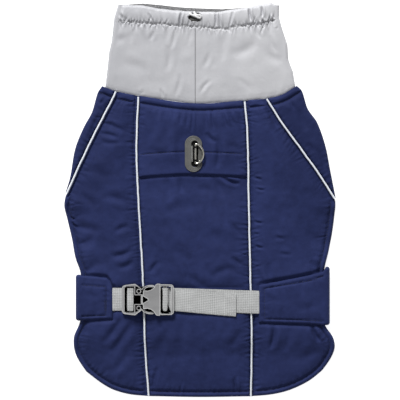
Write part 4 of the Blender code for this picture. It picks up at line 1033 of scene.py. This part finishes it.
# collar: a flattened tube of nylon with a fleece lining, gathered into a casing at its mouth
collar = {
    "wall": 1.3, "rows": (44, 46), "columns": 250, "under": 70, "bend": 7,
    "over": 0.35,       # how far it goes over the seam
    "casing": 1.5,      # how far the casing stands up
    "line": (1.9, 1.0),         # depth and half width of its stitch line
    # pitch, reach, depth, and how much of both goes up into the casing
    "gathers": [(3.6, 5.6, 2.3, 0.95), (2.6, 3.2, 1.6, 1.0), (9.0, 15, 0.9, 0.4)],
    "left": [(122.1, -103.6), (140.6, -101.4), (162.4, -99.2), (174.9, -96.4), (199.5, -93.7),
             (213.1, -89.4)],                                                # y, x
    "right": [(122.1, 104.2), (140.6, 101.4), (155.9, 96.3), (171.1, 95.6), (186.4, 90.5),
              (199.9, 86.3), (212.0, 86.6)],
    "mouthUpper": [(-89.4, 213.1), (-64.0, 212.2), (-43.6, 208.3), (-15.8, 205.8), (18.5, 205.1),
                   (46.9, 209.0), (65.4, 212.6), (80.0, 215.4), (86.9, 212.4)],
    "mouthLower": [(-89.4, 213.1), (-64.0, 214.8), (-43.6, 213.0), (-24.0, 210.8), (-8.7, 209.8),
                   (26.0, 208.6), (46.9, 209.8), (65.4, 212.0), (80.0, 214.6), (86.9, 212.4)],
    "stitch": [(-95, 195.4), (-92.7, 195.1), (-43.6, 191.8), (0.0, 188.6), (27.3, 186.7),
               (45.8, 190.2), (66.5, 192.3), (86.1, 198.4), (90, 199.6)],
    "heights": [(0, 4.6), (0.02, 5.6), (0.06, 6.1), (0.2, 6.3), (0.7, 6.2), (1, 6.0)],
    "opening": (-5.3, 199.3, 7.6, 6.0),
    "flat": (0.395, 0.098), "area": 0.0365,
}
creases["collar"] = [
    (-35, 169, -36, 139.5, 0.9, 3), (-51.2, 184, -54.5, 174, 1.0, 2), (-27.3, 187, -31.6, 164, 0.8, 2),
    (-19.6, 206, -21.8, 187, 1.3, 1.2), (9.8, 161.3, 3.3, 143.9, 0.7, 2.4), (24, 186, 24, 150, 0.7, 3.5),
    (-21.8, 137, -27.3, 113, 0.8, 2.4), (12, 131, 0, 116, 0.9, 2), (34.9, 158, 62.1, 172.2, 1.0, 5),
    (-43.6, 121, -40.3, 111, 0.9, 1.6), (-85, 150.4, -54.5, 139.5, 0.6, 5), (-97, 177, -78.5, 176, 0.8, 4),
    (67.6, 197, 71.9, 184, 1.4, 1.2), (82.8, 186, 89.4, 194, 1.6, 1.2), (53.4, 210, 55.6, 195, 1.4, 1.2),
    (66.5, 212, 67.6, 199, 1.2, 1.2), (17.4, 206, 18.5, 189, 1.1, 1.2), (20.7, 205, 22.9, 188, 0.9, 1.2),
    (-60, 128, -20, 136, 0.4, 6), (40, 132, 56, 120, 0.5, 3), (72, 160, 90, 150, 0.6, 4),
    (-74, 186, -76, 170, 0.5, 3), (76, 180, 84, 160, 0.9, 2.4), (-10, 186, -13, 168, 0.5, 2),
    (-60, 120, -66, 114, 0.5, 2), (-90, 206, -84, 197, 0.8, 1.4), (-57, 204, -52, 193, 0.5, 1.2),
    (36, 206, 33, 190, 0.5, 1.2), (60, 190, 66, 176, 1.0, 1.8), (84, 192, 92, 178, 1.2, 1.8)]


def makeCollar():
    columns, under, bend, rows = [collar[k] for k in ("columns", "under", "bend", "rows")]
    foot = collar["left"][0][0]
    mouthLeft, mouthRight = [collar["mouthUpper"][k][0] for k in (0, -1)]
    # round the tube: share across, whether it is the upper layer, and how far it leans out at the folds
    ring = [(k / columns, 1.0, 0.0) for k in range(columns + 1)]
    ring += [(1.0, 0.5 + 0.5 * math.cos(a), math.sin(a)) for a in np.linspace(0, math.pi, bend + 2)[1:-1]]
    ring += [(1 - k / under, 0.0, 0.0) for k in range(under + 1)]
    ring += [(0.0, 0.5 - 0.5 * math.cos(a), -math.sin(a)) for a in np.linspace(0, math.pi, bend + 2)[1:-1]]
    ring.append(ring[0])
    across, lift, lean = np.array(ring).T
    shares = np.concatenate([1 - np.array([0, 0.004, 0.01, 0.018]), np.linspace(0.975, 0.68, rows[0]),
                             np.linspace(0.666, 0.02, rows[1]), [0.008, 0]])
    share = shares[:, None]
    heights = read(collar["heights"], share)
    low, high = [read(collar[k], foot + (collar[k][-1][0] - foot) * share) for k in ("left", "right")]
    half = heights / 2
    x = (low + half) * (1 - across) + (high - half) * across + lean * half
    mouthX = mouthLeft + (mouthRight - mouthLeft) * across
    mouth = read(collar["mouthLower"], mouthX) * (1 - lift) + read(collar["mouthUpper"], mouthX) * lift
    seamY = read(cut["collarSeam"], x) - collar["over"]
    y = seamY + (mouth[None] - seamY) * share
    flat = np.stack([x.ravel(), y.ravel()], 1)
    upper = np.broadcast_to(lift[None], x.shape).ravel() == 1.0
    edge = smoothStep(np.minimum(across, 1 - across)[None] * (high - low) / 6).ravel() * upper

    # the casing stands up between its stitch line and the mouth, and both sides of the line gather
    along = flat[:, 0]
    onAxis = np.column_stack([along, 0 * along])
    wander = lowNoise(onAxis, 4.5, 75) + 0.7 * lowNoise(onAxis, 2.6, 76)
    above = flat[:, 1] - read(collar["stitch"], along) + 1.1 * wander
    toMouth = (mouth[None] - y).ravel()
    toSeam = (y - seamY).ravel()
    shareUp = np.clip(above / np.maximum(above + toMouth, 1), 0, 1)
    # gathered less beside the opening, and most on the right
    gathered = 0.55 + 0.45 * smoothStep((np.abs(along - 2) - 14) / 60) + 0.35 * smoothStep((along - 30) / 40)
    extra = np.where(above > 0, collar["casing"] * np.sin(np.pi * shareUp) ** 0.7, 0)
    depth, width = collar["line"]
    extra -= depth * np.exp(-(above / width) ** 2) * gathered * (0.7 + 0.7 * wander)
    for k, (pitch, reach, depth, upward) in enumerate(collar["gathers"]):
        for side in (0, 1):
            near = np.where((above > 0) == bool(side), np.abs(above), 40)
            share = upward if side else 1
            extra += gathered * puckers(near, along + 100, 200, 51 + 2 * k + side, pitch, reach * share,
                                        depth * share)
    extra += 0.3 * puckers(toMouth, along + 100, 200, 61, 7, 5, 0.8)
    extra += puckers(toSeam, along + 110, 215, 67, 9, 10, 0.25)
    extra += creaseHeight(flat, creases["collar"]) * smoothStep(toSeam / 2) * np.where(above > -2, 2.3, 0.9)
    extra += 1.1 * lowNoise(flat, 30, 71) + 0.35 * lowNoise(flat, 12, 72)
    extra -= 1.1 * (1 - smoothStep(toMouth / 2.6))
    z = heights * lift + (extra * edge).reshape(x.shape)
    sway = 0.5 * lowNoise(flat, 9, 73) * smoothStep(1 - toMouth / 14) * (upper * 1.0)
    y = y + sway.reshape(x.shape)
    z = np.where(lift[None] == 1, np.maximum(z, 3.2), z)
    piece = gridPiece("collarTube", np.dstack([x, y, z]))

    # the oval opening in the casing: its middle is taken out and its rim set on the oval
    cx, cy, rx, ry = collar["opening"]
    grid = np.dstack([(x - cx) / rx, (y - cy) / ry])
    radius = np.hypot(grid[..., 0], grid[..., 1])
    onTop = np.broadcast_to(lift[None] == 1, x.shape) & (radius < 2)
    inside = (radius < 0.86) & onTop
    beside = np.zeros_like(inside)
    for dj in (-1, 0, 1):
        for di in (-1, 0, 1):
            beside |= np.roll(np.roll(inside, dj, 0), di, 1)
    rim = beside & ~inside & onTop
    x = np.where(rim, cx + (x - cx) / radius, x)
    y = np.where(rim, cy + (y - cy) / radius, y)
    setPlaces(piece, np.dstack([x, y, z])[::-1].reshape(-1, 3))
    pick(piece, inside[::-1].ravel())
    editing(piece, lambda: bpy.ops.mesh.delete(type="VERT"))
    editing(piece, pickAll, weld, faceOutward)
    highest = max(piece.data.polygons, key=lambda face: face.center.z)
    if highest.normal.z < 0:
        editing(piece, pickAll, lambda: bpy.ops.mesh.flip_normals())
    for look in ("nylon", "fleece"):
        piece.data.materials.append(finishes[look])
    thicken(piece, collar["wall"], -1, 1)
    # the under layer's edge, which shows past the upper one, is fleece
    for face in piece.data.polygons:
        if face.normal.y > 0.5 and face.center.z < 0.0028 and face.center.y > 0.18:
            face.material_index = 1
    shadeSmooth(piece, 60)
    print("collar has", round(halfSurface(piece), 5), "m2 a side")
    return dress(piece, "collar_cloth", node="collar")


collar["piece"] = makeCollar()


def tubeAlong(name, points, radius, closed=False, round_=3):
    # a round tube on points in mm: a path curve, made a mesh
    path = startPiece(name, bpy.ops.curve.primitive_nurbs_path_add)
    path.data.splines.clear()
    line = path.data.splines.new("POLY")
    line.points.add(len(points) - 1)
    for knot, point in zip(line.points, points):
        knot.co = (*[value * mm for value in point], 1)
    line.use_cyclic_u = closed
    path.data.bevel_depth = radius * mm
    path.data.bevel_resolution = round_
    path.data.use_fill_caps = not closed
    selectOnly(path)
    bpy.ops.object.convert(target="MESH")
    piece = bpy.context.object
    editing(piece, pickAll, weld, faceOutward)
    shadeSmooth(piece, 60)
    return piece


def setUv(piece, scaleU, scaleV):
    layer = piece.data.uv_layers.active.data
    found = np.empty(len(layer) * 2)
    layer.foreach_get("uv", found)
    layer.foreach_set("uv", (found.reshape(-1, 2) * [scaleU, scaleV]).ravel())


# piping in four seams, a little uneven
piping = {
    "radius": 1.06, "height": 3.7, "step": 3.0,
    "sway": 0.44, "rise": 0.12,         # how far it strays sideways and up
    "pressed": 0.25,                    # how far the strap presses it down
    "strap": (64, -108, 13, 8),         # the strap: its right end, middle, half width and softness
}


def makePiping(name, node, seam, seed):
    length = np.linalg.norm(np.diff(fineLine(cut[seam]), axis=0), axis=1).sum()
    count = int(length / piping["step"])
    line = smoothLine(cut[seam], np.linspace(0.004, 0.9975, count + 1))
    side = sideways(line)
    marks = np.linspace(0, length, count + 1)
    sway = lineNoise(marks, 17, seed, 0) + 0.5 * lineNoise(marks, 6, seed, 5)
    line = line + side * (piping["sway"] * sway * np.sin(np.pi * marks / length) ** 0.3)[:, None]
    heights = backFloor(line) + piping["height"] + piping["rise"] * lineNoise(marks, 11, seed, 9)
    x, y, halfWidth, soft = piping["strap"]
    beside = smoothStep((np.abs(line[:, 1] - y) - halfWidth) / soft)
    heights -= piping["pressed"] * (line[:, 0] < x) * (1 - beside)
    piece = tubeAlong(name, np.column_stack([line, heights]), piping["radius"])
    return dress(piece, "piping", "piping", node=node)


for k, (name, node, seam) in enumerate((("pipingLeft", "piping_left", "pipedLeft"),
                                        ("pipingRight", "piping_right", "pipedRight"),
                                        ("pipingSlantLeft", "piping_diagonal_left", "slantLeft"),
                                        ("pipingSlantRight", "piping_diagonal_right", "slantRight"))):
    makePiping(name, node, seam, k + 1)
print("piping made")


# webbing: the belly strap
strap = {"thick": 1.4, "middle": -108.1, "floor": 9.1, "tailFloor": 10.8,
         "buckle": -56.7, "past": -28.5, "step": 0.8, "hemmed": 1.55}


def overBar(low, high, floor, crest, start, lean):
    # the strap's way in x and z: it rises at one side of a bar, crosses it and goes down behind
    corner = 0.9
    bend = corner if high < low else -corner
    return [(start, floor), (high + lean, floor), (high, floor + abs(lean)), (high, crest - corner),
            (high + bend, crest), (low - bend, crest), (low, crest - corner), (low, floor + 0.4)]


def softened(points, step):
    # a polyline with its corners rounded, in even steps
    line = np.array(points, float)
    for turns in range(2):
        a, b = line[:-1], line[1:]
        cutOff = np.minimum(0.25, 1.1 / np.maximum(np.linalg.norm(b - a, axis=1), 1e-6))[:, None]
        line = np.concatenate([line[:1], np.stack([a + (b - a) * cutOff, b - (b - a) * cutOff], 1)
                               .reshape(-1, 2), line[-1:]])
    marks = marksAlong(line)
    even = np.linspace(0, marks[-1], int(marks[-1] / step) + 1)
    return np.column_stack([np.interp(even, marks, line[:, k]) for k in (0, 1)]), even


def makeWeb(name, node, points, drift, look, seed, slant=0.0, hem=0.0):
    path, marks = softened(points, strap["step"])
    x, z = path.T
    past = np.maximum(0, x - strap["past"])
    across = np.array([0, 0.5, 1.1, 2.0, 3.4, *np.arange(5, 20.1, 1.5), 21.6, 23.0, 23.9, 24.5, 25.0])
    middle = strap["middle"] + drift * past
    edge = 0.10 * lineNoise(marks, 5, seed, 2)
    y = middle[None] + webWidth / 2 - across[:, None] * (1 + 0 * x[None])
    y = y + edge[None] * (0.5 - across[:, None] / webWidth) * 2
    first = np.exp(-np.maximum(marks, 0) / 4)[None]
    xs = x[None] + slant * (across[:, None] / webWidth - 0.5) * first
    lay = np.array([[noise.noise(Vector((m / 14, a / 18, seed))) for m in marks] for a in across])
    zs = z[None] + 0.10 * lay
    piece = gridPiece(name, np.dstack([xs, y, zs]))
    setUv(piece, marks[-1], webWidth)
    editing(piece, pickAll, faceOutward)
    # thinner selvedges, and a hem where the end is folded
    shares = read([(0, 0.45), (0.5, 0.72), (1.1, 0.86), (2.0, 0.80), (2.6, 0.84), (3.4, 1), (12.5, 1)],
                  np.minimum(across, webWidth - across))[:, None] * (1 + 0 * x[None])
    thickest = 1.0
    if hem:
        thickest = strap["hemmed"]
        shares = shares * (1 + (thickest - 1) * (1 - smoothStep((marks - hem) / 1.2))[None]) / thickest
    thicken(piece, strap["thick"] * thickest, 0, 0, shares[::-1].ravel())
    shadeSmooth(piece, 40)
    print(name, "lies on", round(halfSurface(piece), 5), "m2")
    return dress(piece, "webbing", look, node=node)


bx = strap["buckle"]
strap["left"] = makeWeb("strapLeft", "webbing_left",
                        overBar(bx - 15.5, bx - 22.3, strap["floor"], 14.0, -98.5, -1.8), 0, "web", 81, 2.6)
strap["right"] = makeWeb("strapRight", "webbing_right",
                         [(67.0, strap["floor"]), (bx + 28.2, strap["floor"]), (bx + 14.6, strap["floor"])],
                         -0.034, "web", 83)
strap["tail"] = makeWeb("strapTail", "webbing_tail",
                        [(39.0, strap["tailFloor"]),
                         *overBar(bx + 16.0, bx + 21.7, strap["tailFloor"], 14.6, bx + 28.2, 1.3)],
                        -0.093, "hemmedWeb", 87, hem=11.0)


# a raised rim round the top faces of a moulded piece, painted pale as a highlight, and a wider window in them
rim = {"width": 0.62, "sunk": 0.14, "window": 1.4}


def raiseRim(piece, material):
    spots = places(piece)
    off = spots[:, :2] - [strap["buckle"], strap["middle"]]
    window = (off[:, 0] > -5.9) & (off[:, 0] < 2) & (np.abs(off[:, 1]) < 3.2) & (spots[:, 2] > 12)
    spots[window, 1] = strap["middle"] + off[window, 1] * rim["window"]
    setPlaces(piece, spots)
    pick(piece, np.zeros(len(spots), bool))
    piece.data.polygons.foreach_set("select", [face.normal.z > 0.9 for face in piece.data.polygons])
    editing(piece, lambda: bpy.ops.mesh.inset(thickness=rim["width"] * mm, depth=-rim["sunk"] * mm))
    piece.data.materials.clear()
    # painted highlight: the rim and the other faces that look up take the paler material
    for face in piece.data.polygons:
        if face.normal.z > 0.3 and not face.select:
            face.material_index = material


# a finer copy of a CAD solid: welded, its flats joined, and its edges rounded
def finerCopy(name, node, width, segments=2, highlightMaterial=-1):
    source = frame["nodes"][node]
    piece = source.copy()
    piece.data = source.data.copy()
    piece.name = piece.data.name = name
    bpy.context.scene.collection.objects.link(piece)
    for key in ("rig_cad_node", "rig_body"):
        if key in piece:
            del piece[key]
    piece.parent = None
    piece.data.materials.clear()
    editing(piece, pickAll, weld, lambda: bpy.ops.mesh.dissolve_limited(angle_limit=math.radians(1)),
            faceOutward)
    if highlightMaterial > 0:
        raiseRim(piece, highlightMaterial)
    roundEdges(piece, width, segments, 30)
    shadeSmooth(piece, 35)
    return piece


dress(finerCopy("buckleProngs", "buckle_male", 0.4, 2, 1), "buckle_plastic", "buckle", "paintedBuckleHighlight",
      node="buckle_male")
dress(finerCopy("buckleBody", "buckle_female", 0.4, 2, 1), "buckle_plastic", "buckle", "paintedBuckleHighlight",
      node="buckle_female")

# the buckle's inside and guide, painted near black as the shade which shows through the window and between
# the ears
hollow = {"x": (-14.2, 6.4), "y": (-4.6, 4.6), "z": (10.15, 10.6)}


def makeHollow():
    low, high = np.array([hollow[k] for k in "xyz"]).T
    piece = startPiece("buckleHollow", bpy.ops.mesh.primitive_cube_add, size=1)
    at = np.array([strap["buckle"], strap["middle"], 0])
    setPlaces(piece, places(piece) / 1000 * (high - low) + (high + low) / 2 + at)
    roundEdges(piece, 0.2)
    # a low guide for the prongs, raised from its top
    pick(piece, np.zeros(len(piece.data.vertices), bool))
    top = max(piece.data.polygons, key=lambda face: face.area * face.normal.z)
    top.select = True
    editing(piece, lambda: bpy.ops.mesh.inset(thickness=0.0008), lambda: bpy.ops.mesh.extrude_region_move(
        TRANSFORM_OT_translate={"value": (0, 0, 0.0006)}), pickAll, faceOutward)
    # painted shade: near-black plastic
    return dress(piece, "buckle_plastic", "lock")


makeHollow()
print("buckle made")


# leash plate: an oval with a slot, and ridges that follow its outline
plate = {"middle": (-7.1, 50.1), "size": (18.9, 39.6), "slot": (7.2, 28.6), "slotX": -5.7,
         "floor": 8.0, "thick": 2.2, "sides": 64, "loops": 20,
         "profile": [(0, 1.2), (0.035, 1.9), (0.09, 2.2), (0.16, 2.15), (0.21, 1.75), (0.26, 1.75),
                     (0.31, 2.15), (0.37, 2.15), (0.42, 1.8), (0.47, 1.8), (0.52, 2.1), (0.58, 2.1),
                     (0.63, 1.8), (0.68, 1.8), (0.73, 2.05), (0.90, 2.05), (0.96, 1.8), (1, 1.3)]}


def ovalLoop(name, size, middle, height):
    # a circle primitive, its halves moved apart to an upright oval
    radius, reach = size[0] / 2, size[1] / 2 - size[0] / 2
    loop = startPiece(name, bpy.ops.mesh.primitive_circle_add, vertices=plate["sides"], radius=radius * mm)
    spots = places(loop)
    side = np.sign(spots[:, 1])
    side[np.abs(spots[:, 1]) < 1e-4] = 1
    spots[:, 1] += reach * side
    spots += [*middle, height]
    setPlaces(loop, spots)
    return loop


def makePlate():
    top = plate["floor"] + plate["thick"]
    outer = ovalLoop("leashPlate", plate["size"], plate["middle"], top)
    joinPieces(outer, ovalLoop("slot", plate["slot"], (plate["slotX"], plate["middle"][1]), top))
    count = len(outer.data.vertices)
    editing(outer, pickAll, lambda: bpy.ops.mesh.bridge_edge_loops(
        number_cuts=plate["loops"] * 2, interpolation="LINEAR"))
    spots = places(outer)
    # how far each point is from the outline to the slot
    loops = spots[:count // 2, :2], spots[count // 2:count, :2]
    fromOuter, fromSlot = [alongLine(spots[:, :2], np.vstack([loop, loop[:1]]))[0] for loop in loops]
    share = fromOuter / (fromOuter + fromSlot)
    spots[:, 2] = plate["floor"] + read(plate["profile"], share)
    setPlaces(outer, spots)
    closeBelow(outer, lambda spots: np.full(len(spots), plate["floor"]))
    shadeSmooth(outer, 50)
    return dress(outer, "plate_rubber", "plate", node="leash_plate")


makePlate()

# the ridged strip along the slot's left side, with its row of teeth
teeth = {"x": -8.7, "y": 50.1, "size": (1.7, 17.4), "low": 8.1, "high": 10.0, "count": 13}


def makeTeeth():
    width, length = teeth["size"]
    piece = startPiece("plateTeeth", bpy.ops.mesh.primitive_grid_add, x_subdivisions=2,
                       y_subdivisions=teeth["count"] * 4, size=2)
    spots = places(piece)
    spots /= 1000
    ridge = 0.5 + 0.5 * np.cos(spots[:, 1] * np.pi * teeth["count"])
    x = teeth["x"] + spots[:, 0] * width / 2 + 0.35 * (spots[:, 0] > 0.5) * (ridge - 0.5)
    y = teeth["y"] + spots[:, 1] * length / 2
    z = teeth["high"] - 0.5 + 0.5 * ridge - 0.25 * (spots[:, 0] > 0.5)
    setPlaces(piece, np.column_stack([x, y, z]))
    closeBelow(piece, lambda spots: np.full(len(spots), teeth["low"]))
    shadeSmooth(piece, 40)
    return dress(piece, "plate_rubber", "plateTeeth")


makeTeeth()

# a tape behind the slot, painted near black as the shade inside the slot
backing = {"size": (9.4, 31.0), "low": 7.75, "high": 8.3}


def makeBacking():
    piece = ovalLoop("slotBacking", backing["size"], (plate["slotX"], plate["middle"][1]), backing["high"])
    editing(piece, pickAll, lambda: bpy.ops.mesh.edge_face_add())
    closeBelow(piece, lambda spots: np.full(len(spots), backing["low"]))
    roundEdges(piece, 0.15)
    shadeSmooth(piece, 40)
    return dress(piece, "keeper_webbing", "tape")


makeBacking()

# D-ring: its bar, its bow, and soft corners between them
ring = {"at": (-4.96, 50.1, 11.75), "wire": 1.18, "depth": 8.6, "half": 10.65, "tilt": 3.0}


def makeRing():
    bow = [(ring["depth"] * math.cos(a), ring["half"] * math.sin(a))
           for a in np.linspace(-math.pi / 2, math.pi / 2, 41)]
    bar = [(0.0, y) for y in np.linspace(ring["half"], -ring["half"], 24)[1:-1]]
    line = np.array(bow + bar)
    # soften the two corners
    for turns in range(3):
        near = (np.abs(np.abs(line[:, 1]) - ring["half"]) < 1.6)[:, None]
        line = np.where(near, (np.roll(line, 1, 0) + line * 2 + np.roll(line, -1, 0)) / 4, line)
    tilt = math.radians(ring["tilt"])
    x, y, z = ring["at"]
    points = [(x + px * math.cos(tilt), y + py, z + px * math.sin(tilt)) for px, py in line]
    piece = tubeAlong("leashRing", points, ring["wire"], closed=True, round_=4)
    return dress(piece, "ring_steel", "steel", node="leash_ring", body="leash_ring")


makeRing()
dress(finerCopy("ringKeeper", "ring_keeper", 0.22), "keeper_webbing", "tape", node="ring_keeper")
print("leash plate and ring made")


# cord lock: a ribbed barrel on a dark body that fills the opening behind it
lock = {"middle": (-5.3, 196.1, 4.3), "radius": 2.8, "length": 14.4, "ribs": 9, "sides": 28,
        "body": (7.2, 5.6), "bodyBack": 3.0, "bodyLow": 1.6, "bodyHigh": 3.1}


def makeLock():
    x, y, z = lock["middle"]
    barrel = startPiece("cordLock", bpy.ops.mesh.primitive_cylinder_add, vertices=lock["sides"],
                        radius=lock["radius"] * mm, depth=lock["length"] * mm,
                        rotation=(0, math.pi / 2, 0), location=(x * mm, y * mm, z * mm))
    bpy.ops.object.transform_apply(location=True, rotation=True, scale=True)
    half = lock["length"] / 2
    # cut across in rings, which are drawn in and out to ribs
    for k in range(1, lock["ribs"] * 4):
        at = x - half + lock["length"] * k / (lock["ribs"] * 4)
        editing(barrel, pickAll, lambda: bpy.ops.mesh.bisect(plane_co=(at * mm, y * mm, z * mm),
                                                             plane_no=(1, 0, 0)))
    spots = places(barrel)
    share = np.clip((spots[:, 0] - x) / half, -1, 1)
    rib = 0.86 + 0.14 * (0.5 + 0.5 * np.cos(share * np.pi * lock["ribs"]))
    ends = np.sqrt(np.clip(1 - np.abs(share) ** 5, 0.12, 1))
    spots[:, 1:] = [y, z] + (spots[:, 1:] - [y, z]) * (rib * ends)[:, None]
    setPlaces(barrel, spots)
    shadeSmooth(barrel, 40)
    body = startPiece("lockBody", bpy.ops.mesh.primitive_circle_add, vertices=40, radius=mm,
                      fill_type="NGON")
    spots = places(body) * [*lock["body"], 0] + [x, y + lock["bodyBack"], lock["bodyHigh"]]
    setPlaces(body, spots)
    editing(body, pickAll, extrudeDown)
    spots = places(body)
    spots[picked(body), 2] = lock["bodyLow"]
    setPlaces(body, spots)
    editing(body, pickAll, faceOutward)
    roundEdges(body, 0.4)
    for piece in (barrel, body):
        piece.data.materials.append(finishes["lockRibs"])
        piece.data.materials.append(finishes["lock"])
    body.data.polygons.foreach_set("material_index", np.ones(len(body.data.polygons), int))
    return dress(joinPieces(barrel, body), "toggle_plastic", node="toggle")


makeLock()

# drawcord: a short loop that comes out of the casing's left rim and goes back in at the top
cordRoute = [(-12.9, 203.4, 4.4), (-11.0, 202.6, 6.6), (-8.2, 201.3, 8.0), (-5.0, 200.0, 8.5),
             (-2.6, 198.9, 8.6), (-0.7, 198.1, 8.6), (0.7, 198.8, 8.6), (0.8, 200.2, 8.7),
             (-0.5, 200.9, 8.7), (-2.6, 200.9, 8.6), (-4.4, 201.6, 8.0), (-5.6, 203.0, 6.6),
             (-6.3, 205.0, 4.2)]
cordPiece = tubeAlong("drawcordLoop", smoothLine(cordRoute, np.linspace(0, 1, 60)), 1.3, round_=4)
setUv(cordPiece, 30.0, 1.0)
dress(cordPiece, "cord", "cord", node="drawcord")
print("cord lock and drawcord made")


# stitches: one short thread, copied along each stitched line and laid on the finished cloth
def surfaceOf(*pieces):
    trees = []
    for piece in pieces:
        trees.append(BVHTree.FromPolygons([v.co for v in piece.data.vertices],
                                          [face.vertices for face in piece.data.polygons]))
    def height(x, y):
        hits = [tree.ray_cast(Vector((x * mm, y * mm, 0.05)), Vector((0, 0, -1)))[0] for tree in trees]
        found = [hit.z / mm for hit in hits if hit is not None]
        return max(found) if found else None
    return height


def makeStitches(name, rows, slot, look, pieces, pitch=3.1, length=2.2, width=0.30):
    height = surfaceOf(*pieces)
    first = startPiece(name, bpy.ops.mesh.primitive_uv_sphere_add, segments=6, ring_count=4, radius=1)
    setPlaces(first, places(first) * mm)
    threads = []
    for line in rows:
        marks = marksAlong(line)
        at = pitch / 2
        while at + length / 2 < marks[-1]:
            ends = [[np.interp(m, marks, line[:, k]) for k in (0, 1)]
                    for m in (at - length / 2, at + length / 2)]
            at += pitch
            zs = [height(*end) for end in ends]
            if None in zs or abs(zs[0] - zs[1]) > 1.5:      # off the cloth, or over a step in it
                continue
            a, b = [Vector((*end, z + 0.02)) for end, z in zip(ends, zs)]
            thread = first.copy()
            thread.data = first.data.copy()
            middle = (a + b) / 2
            turned = (b - a).to_track_quat("X", "Z").to_matrix().to_4x4()
            size = Matrix.Diagonal((length / 2, width, width * 0.8, 1))
            thread.data.transform(Matrix.Scale(mm, 4) @ Matrix.Translation(middle) @ turned @ size
                                  @ Matrix.Scale(1000, 4))
            bpy.context.scene.collection.objects.link(thread)
            threads.append(thread)
    bpy.data.objects.remove(first)
    piece = joinPieces(*threads)
    piece.name = piece.data.name = name
    shadeSmooth(piece, 60)
    print(name, len(threads), "stitches")
    return dress(piece, slot, look)


def insetLine(points, distance, toward):
    # a line moved sideways towards a point
    line = fineLine(points)
    side = sideways(line)
    inward = np.sign(np.einsum("ij,ij->i", side, np.array(toward) - line))
    return line + side * (inward * distance)[:, None]


backPieces = [panels[k]["piece"] for k in panels]
hemLine = joinedLines(joinedLines(cut["capeLeft"], cut["hemLeft"]),
                      joinedLines(cut["hemMiddle"], joinedLines(cut["hemRight"], cut["capeRight"][::-1])))
makeStitches("hemStitches", [insetLine(hemLine, stitchedAt["hem"], (0, -90)),
                             insetLine(cut["collarSeam"], stitchedAt["neck"], (0, 0))],
             "navy_cloth", "navyThread", backPieces)
flapStitch = [np.array([(-65.7, 49.4), (-45, 51.4), (-17.8, 52.4)]),
              np.array([(4.5, 51.6), (21.8, 51.2), (50, 49.8)])]
makeStitches("flapStitches", flapStitch, "navy_cloth", "navyThread", [panels["yokePanel"]["piece"]])
bartack = [np.array([(x, -109), (x, -122)]) for x in (-102.0, -103.4)]
makeStitches("tabStitches", [np.array(line, float) for line in topstitch.values()], "navy_cloth",
             "navyThread", [band["piece"]])
makeStitches("tabTacks", bartack, "navy_cloth", "navyThread", [band["piece"]], 1.5, 1.2, 0.35)
makeStitches("casingStitches", [fineLine(collar["stitch"][1:-1])], "collar_cloth", "greyThread",
             [collar["piece"]], 2.9, 2.0, 0.26)
tailEnd = np.array([(28.4, -101.5), (28.4, -125.0)])
makeStitches("hemmedTail", [tailEnd, tailEnd + [8.4, 0]], "webbing", "greyThread", [strap["tail"]],
             2.4, 1.7, 0.25)


# floor and studio light
studio = {
    "floor": 3.0, "world": 0.21,
    # each lamp's place, size and power
    "lamps": {"keyLight": ((-0.55, 2.18, 1.42), 0.9, 84.0), "fillLight": ((0.95, -0.35, 1.3), 1.4, 2.6),
              "lowLight": ((-0.9, -0.6, 0.8), 0.9, 1.6)},
}

floor = startPiece("floor", bpy.ops.mesh.primitive_plane_add, size=studio["floor"], location=(0, 0, -0.0004))
paper = Finish("paper", Base_Color=(0.6, 0.6, 0.6, 1), Roughness=0.9, Emission_Color=(1, 1, 1, 1),
               Emission_Strength=0.84)
grain = paper.noise(paper.spot(), 3.0, 2)
floor.data.materials.append(paper.relief(0.01 * grain))


def softLight(name, place, size, watts):
    # a round lamp that faces the middle of the coat
    bpy.ops.object.light_add(type="AREA", location=place)
    light = bpy.context.object
    light.name = name
    light.data.shape = "DISK"
    light.data.size = size
    light.data.energy = watts
    light.rotation_euler = (-Vector(place)).to_track_quat("-Z", "Y").to_euler()


for name, lamp in studio["lamps"].items():
    softLight(name, *lamp)
world = bpy.data.worlds.new("studio")
bpy.context.scene.world = world
world.use_nodes = True
background = world.node_tree.nodes["Background"]
background.inputs["Color"].default_value = (1, 1, 1, 1)
background.inputs["Strength"].default_value = studio["world"]
bpy.context.scene.view_settings.view_transform = "Standard"
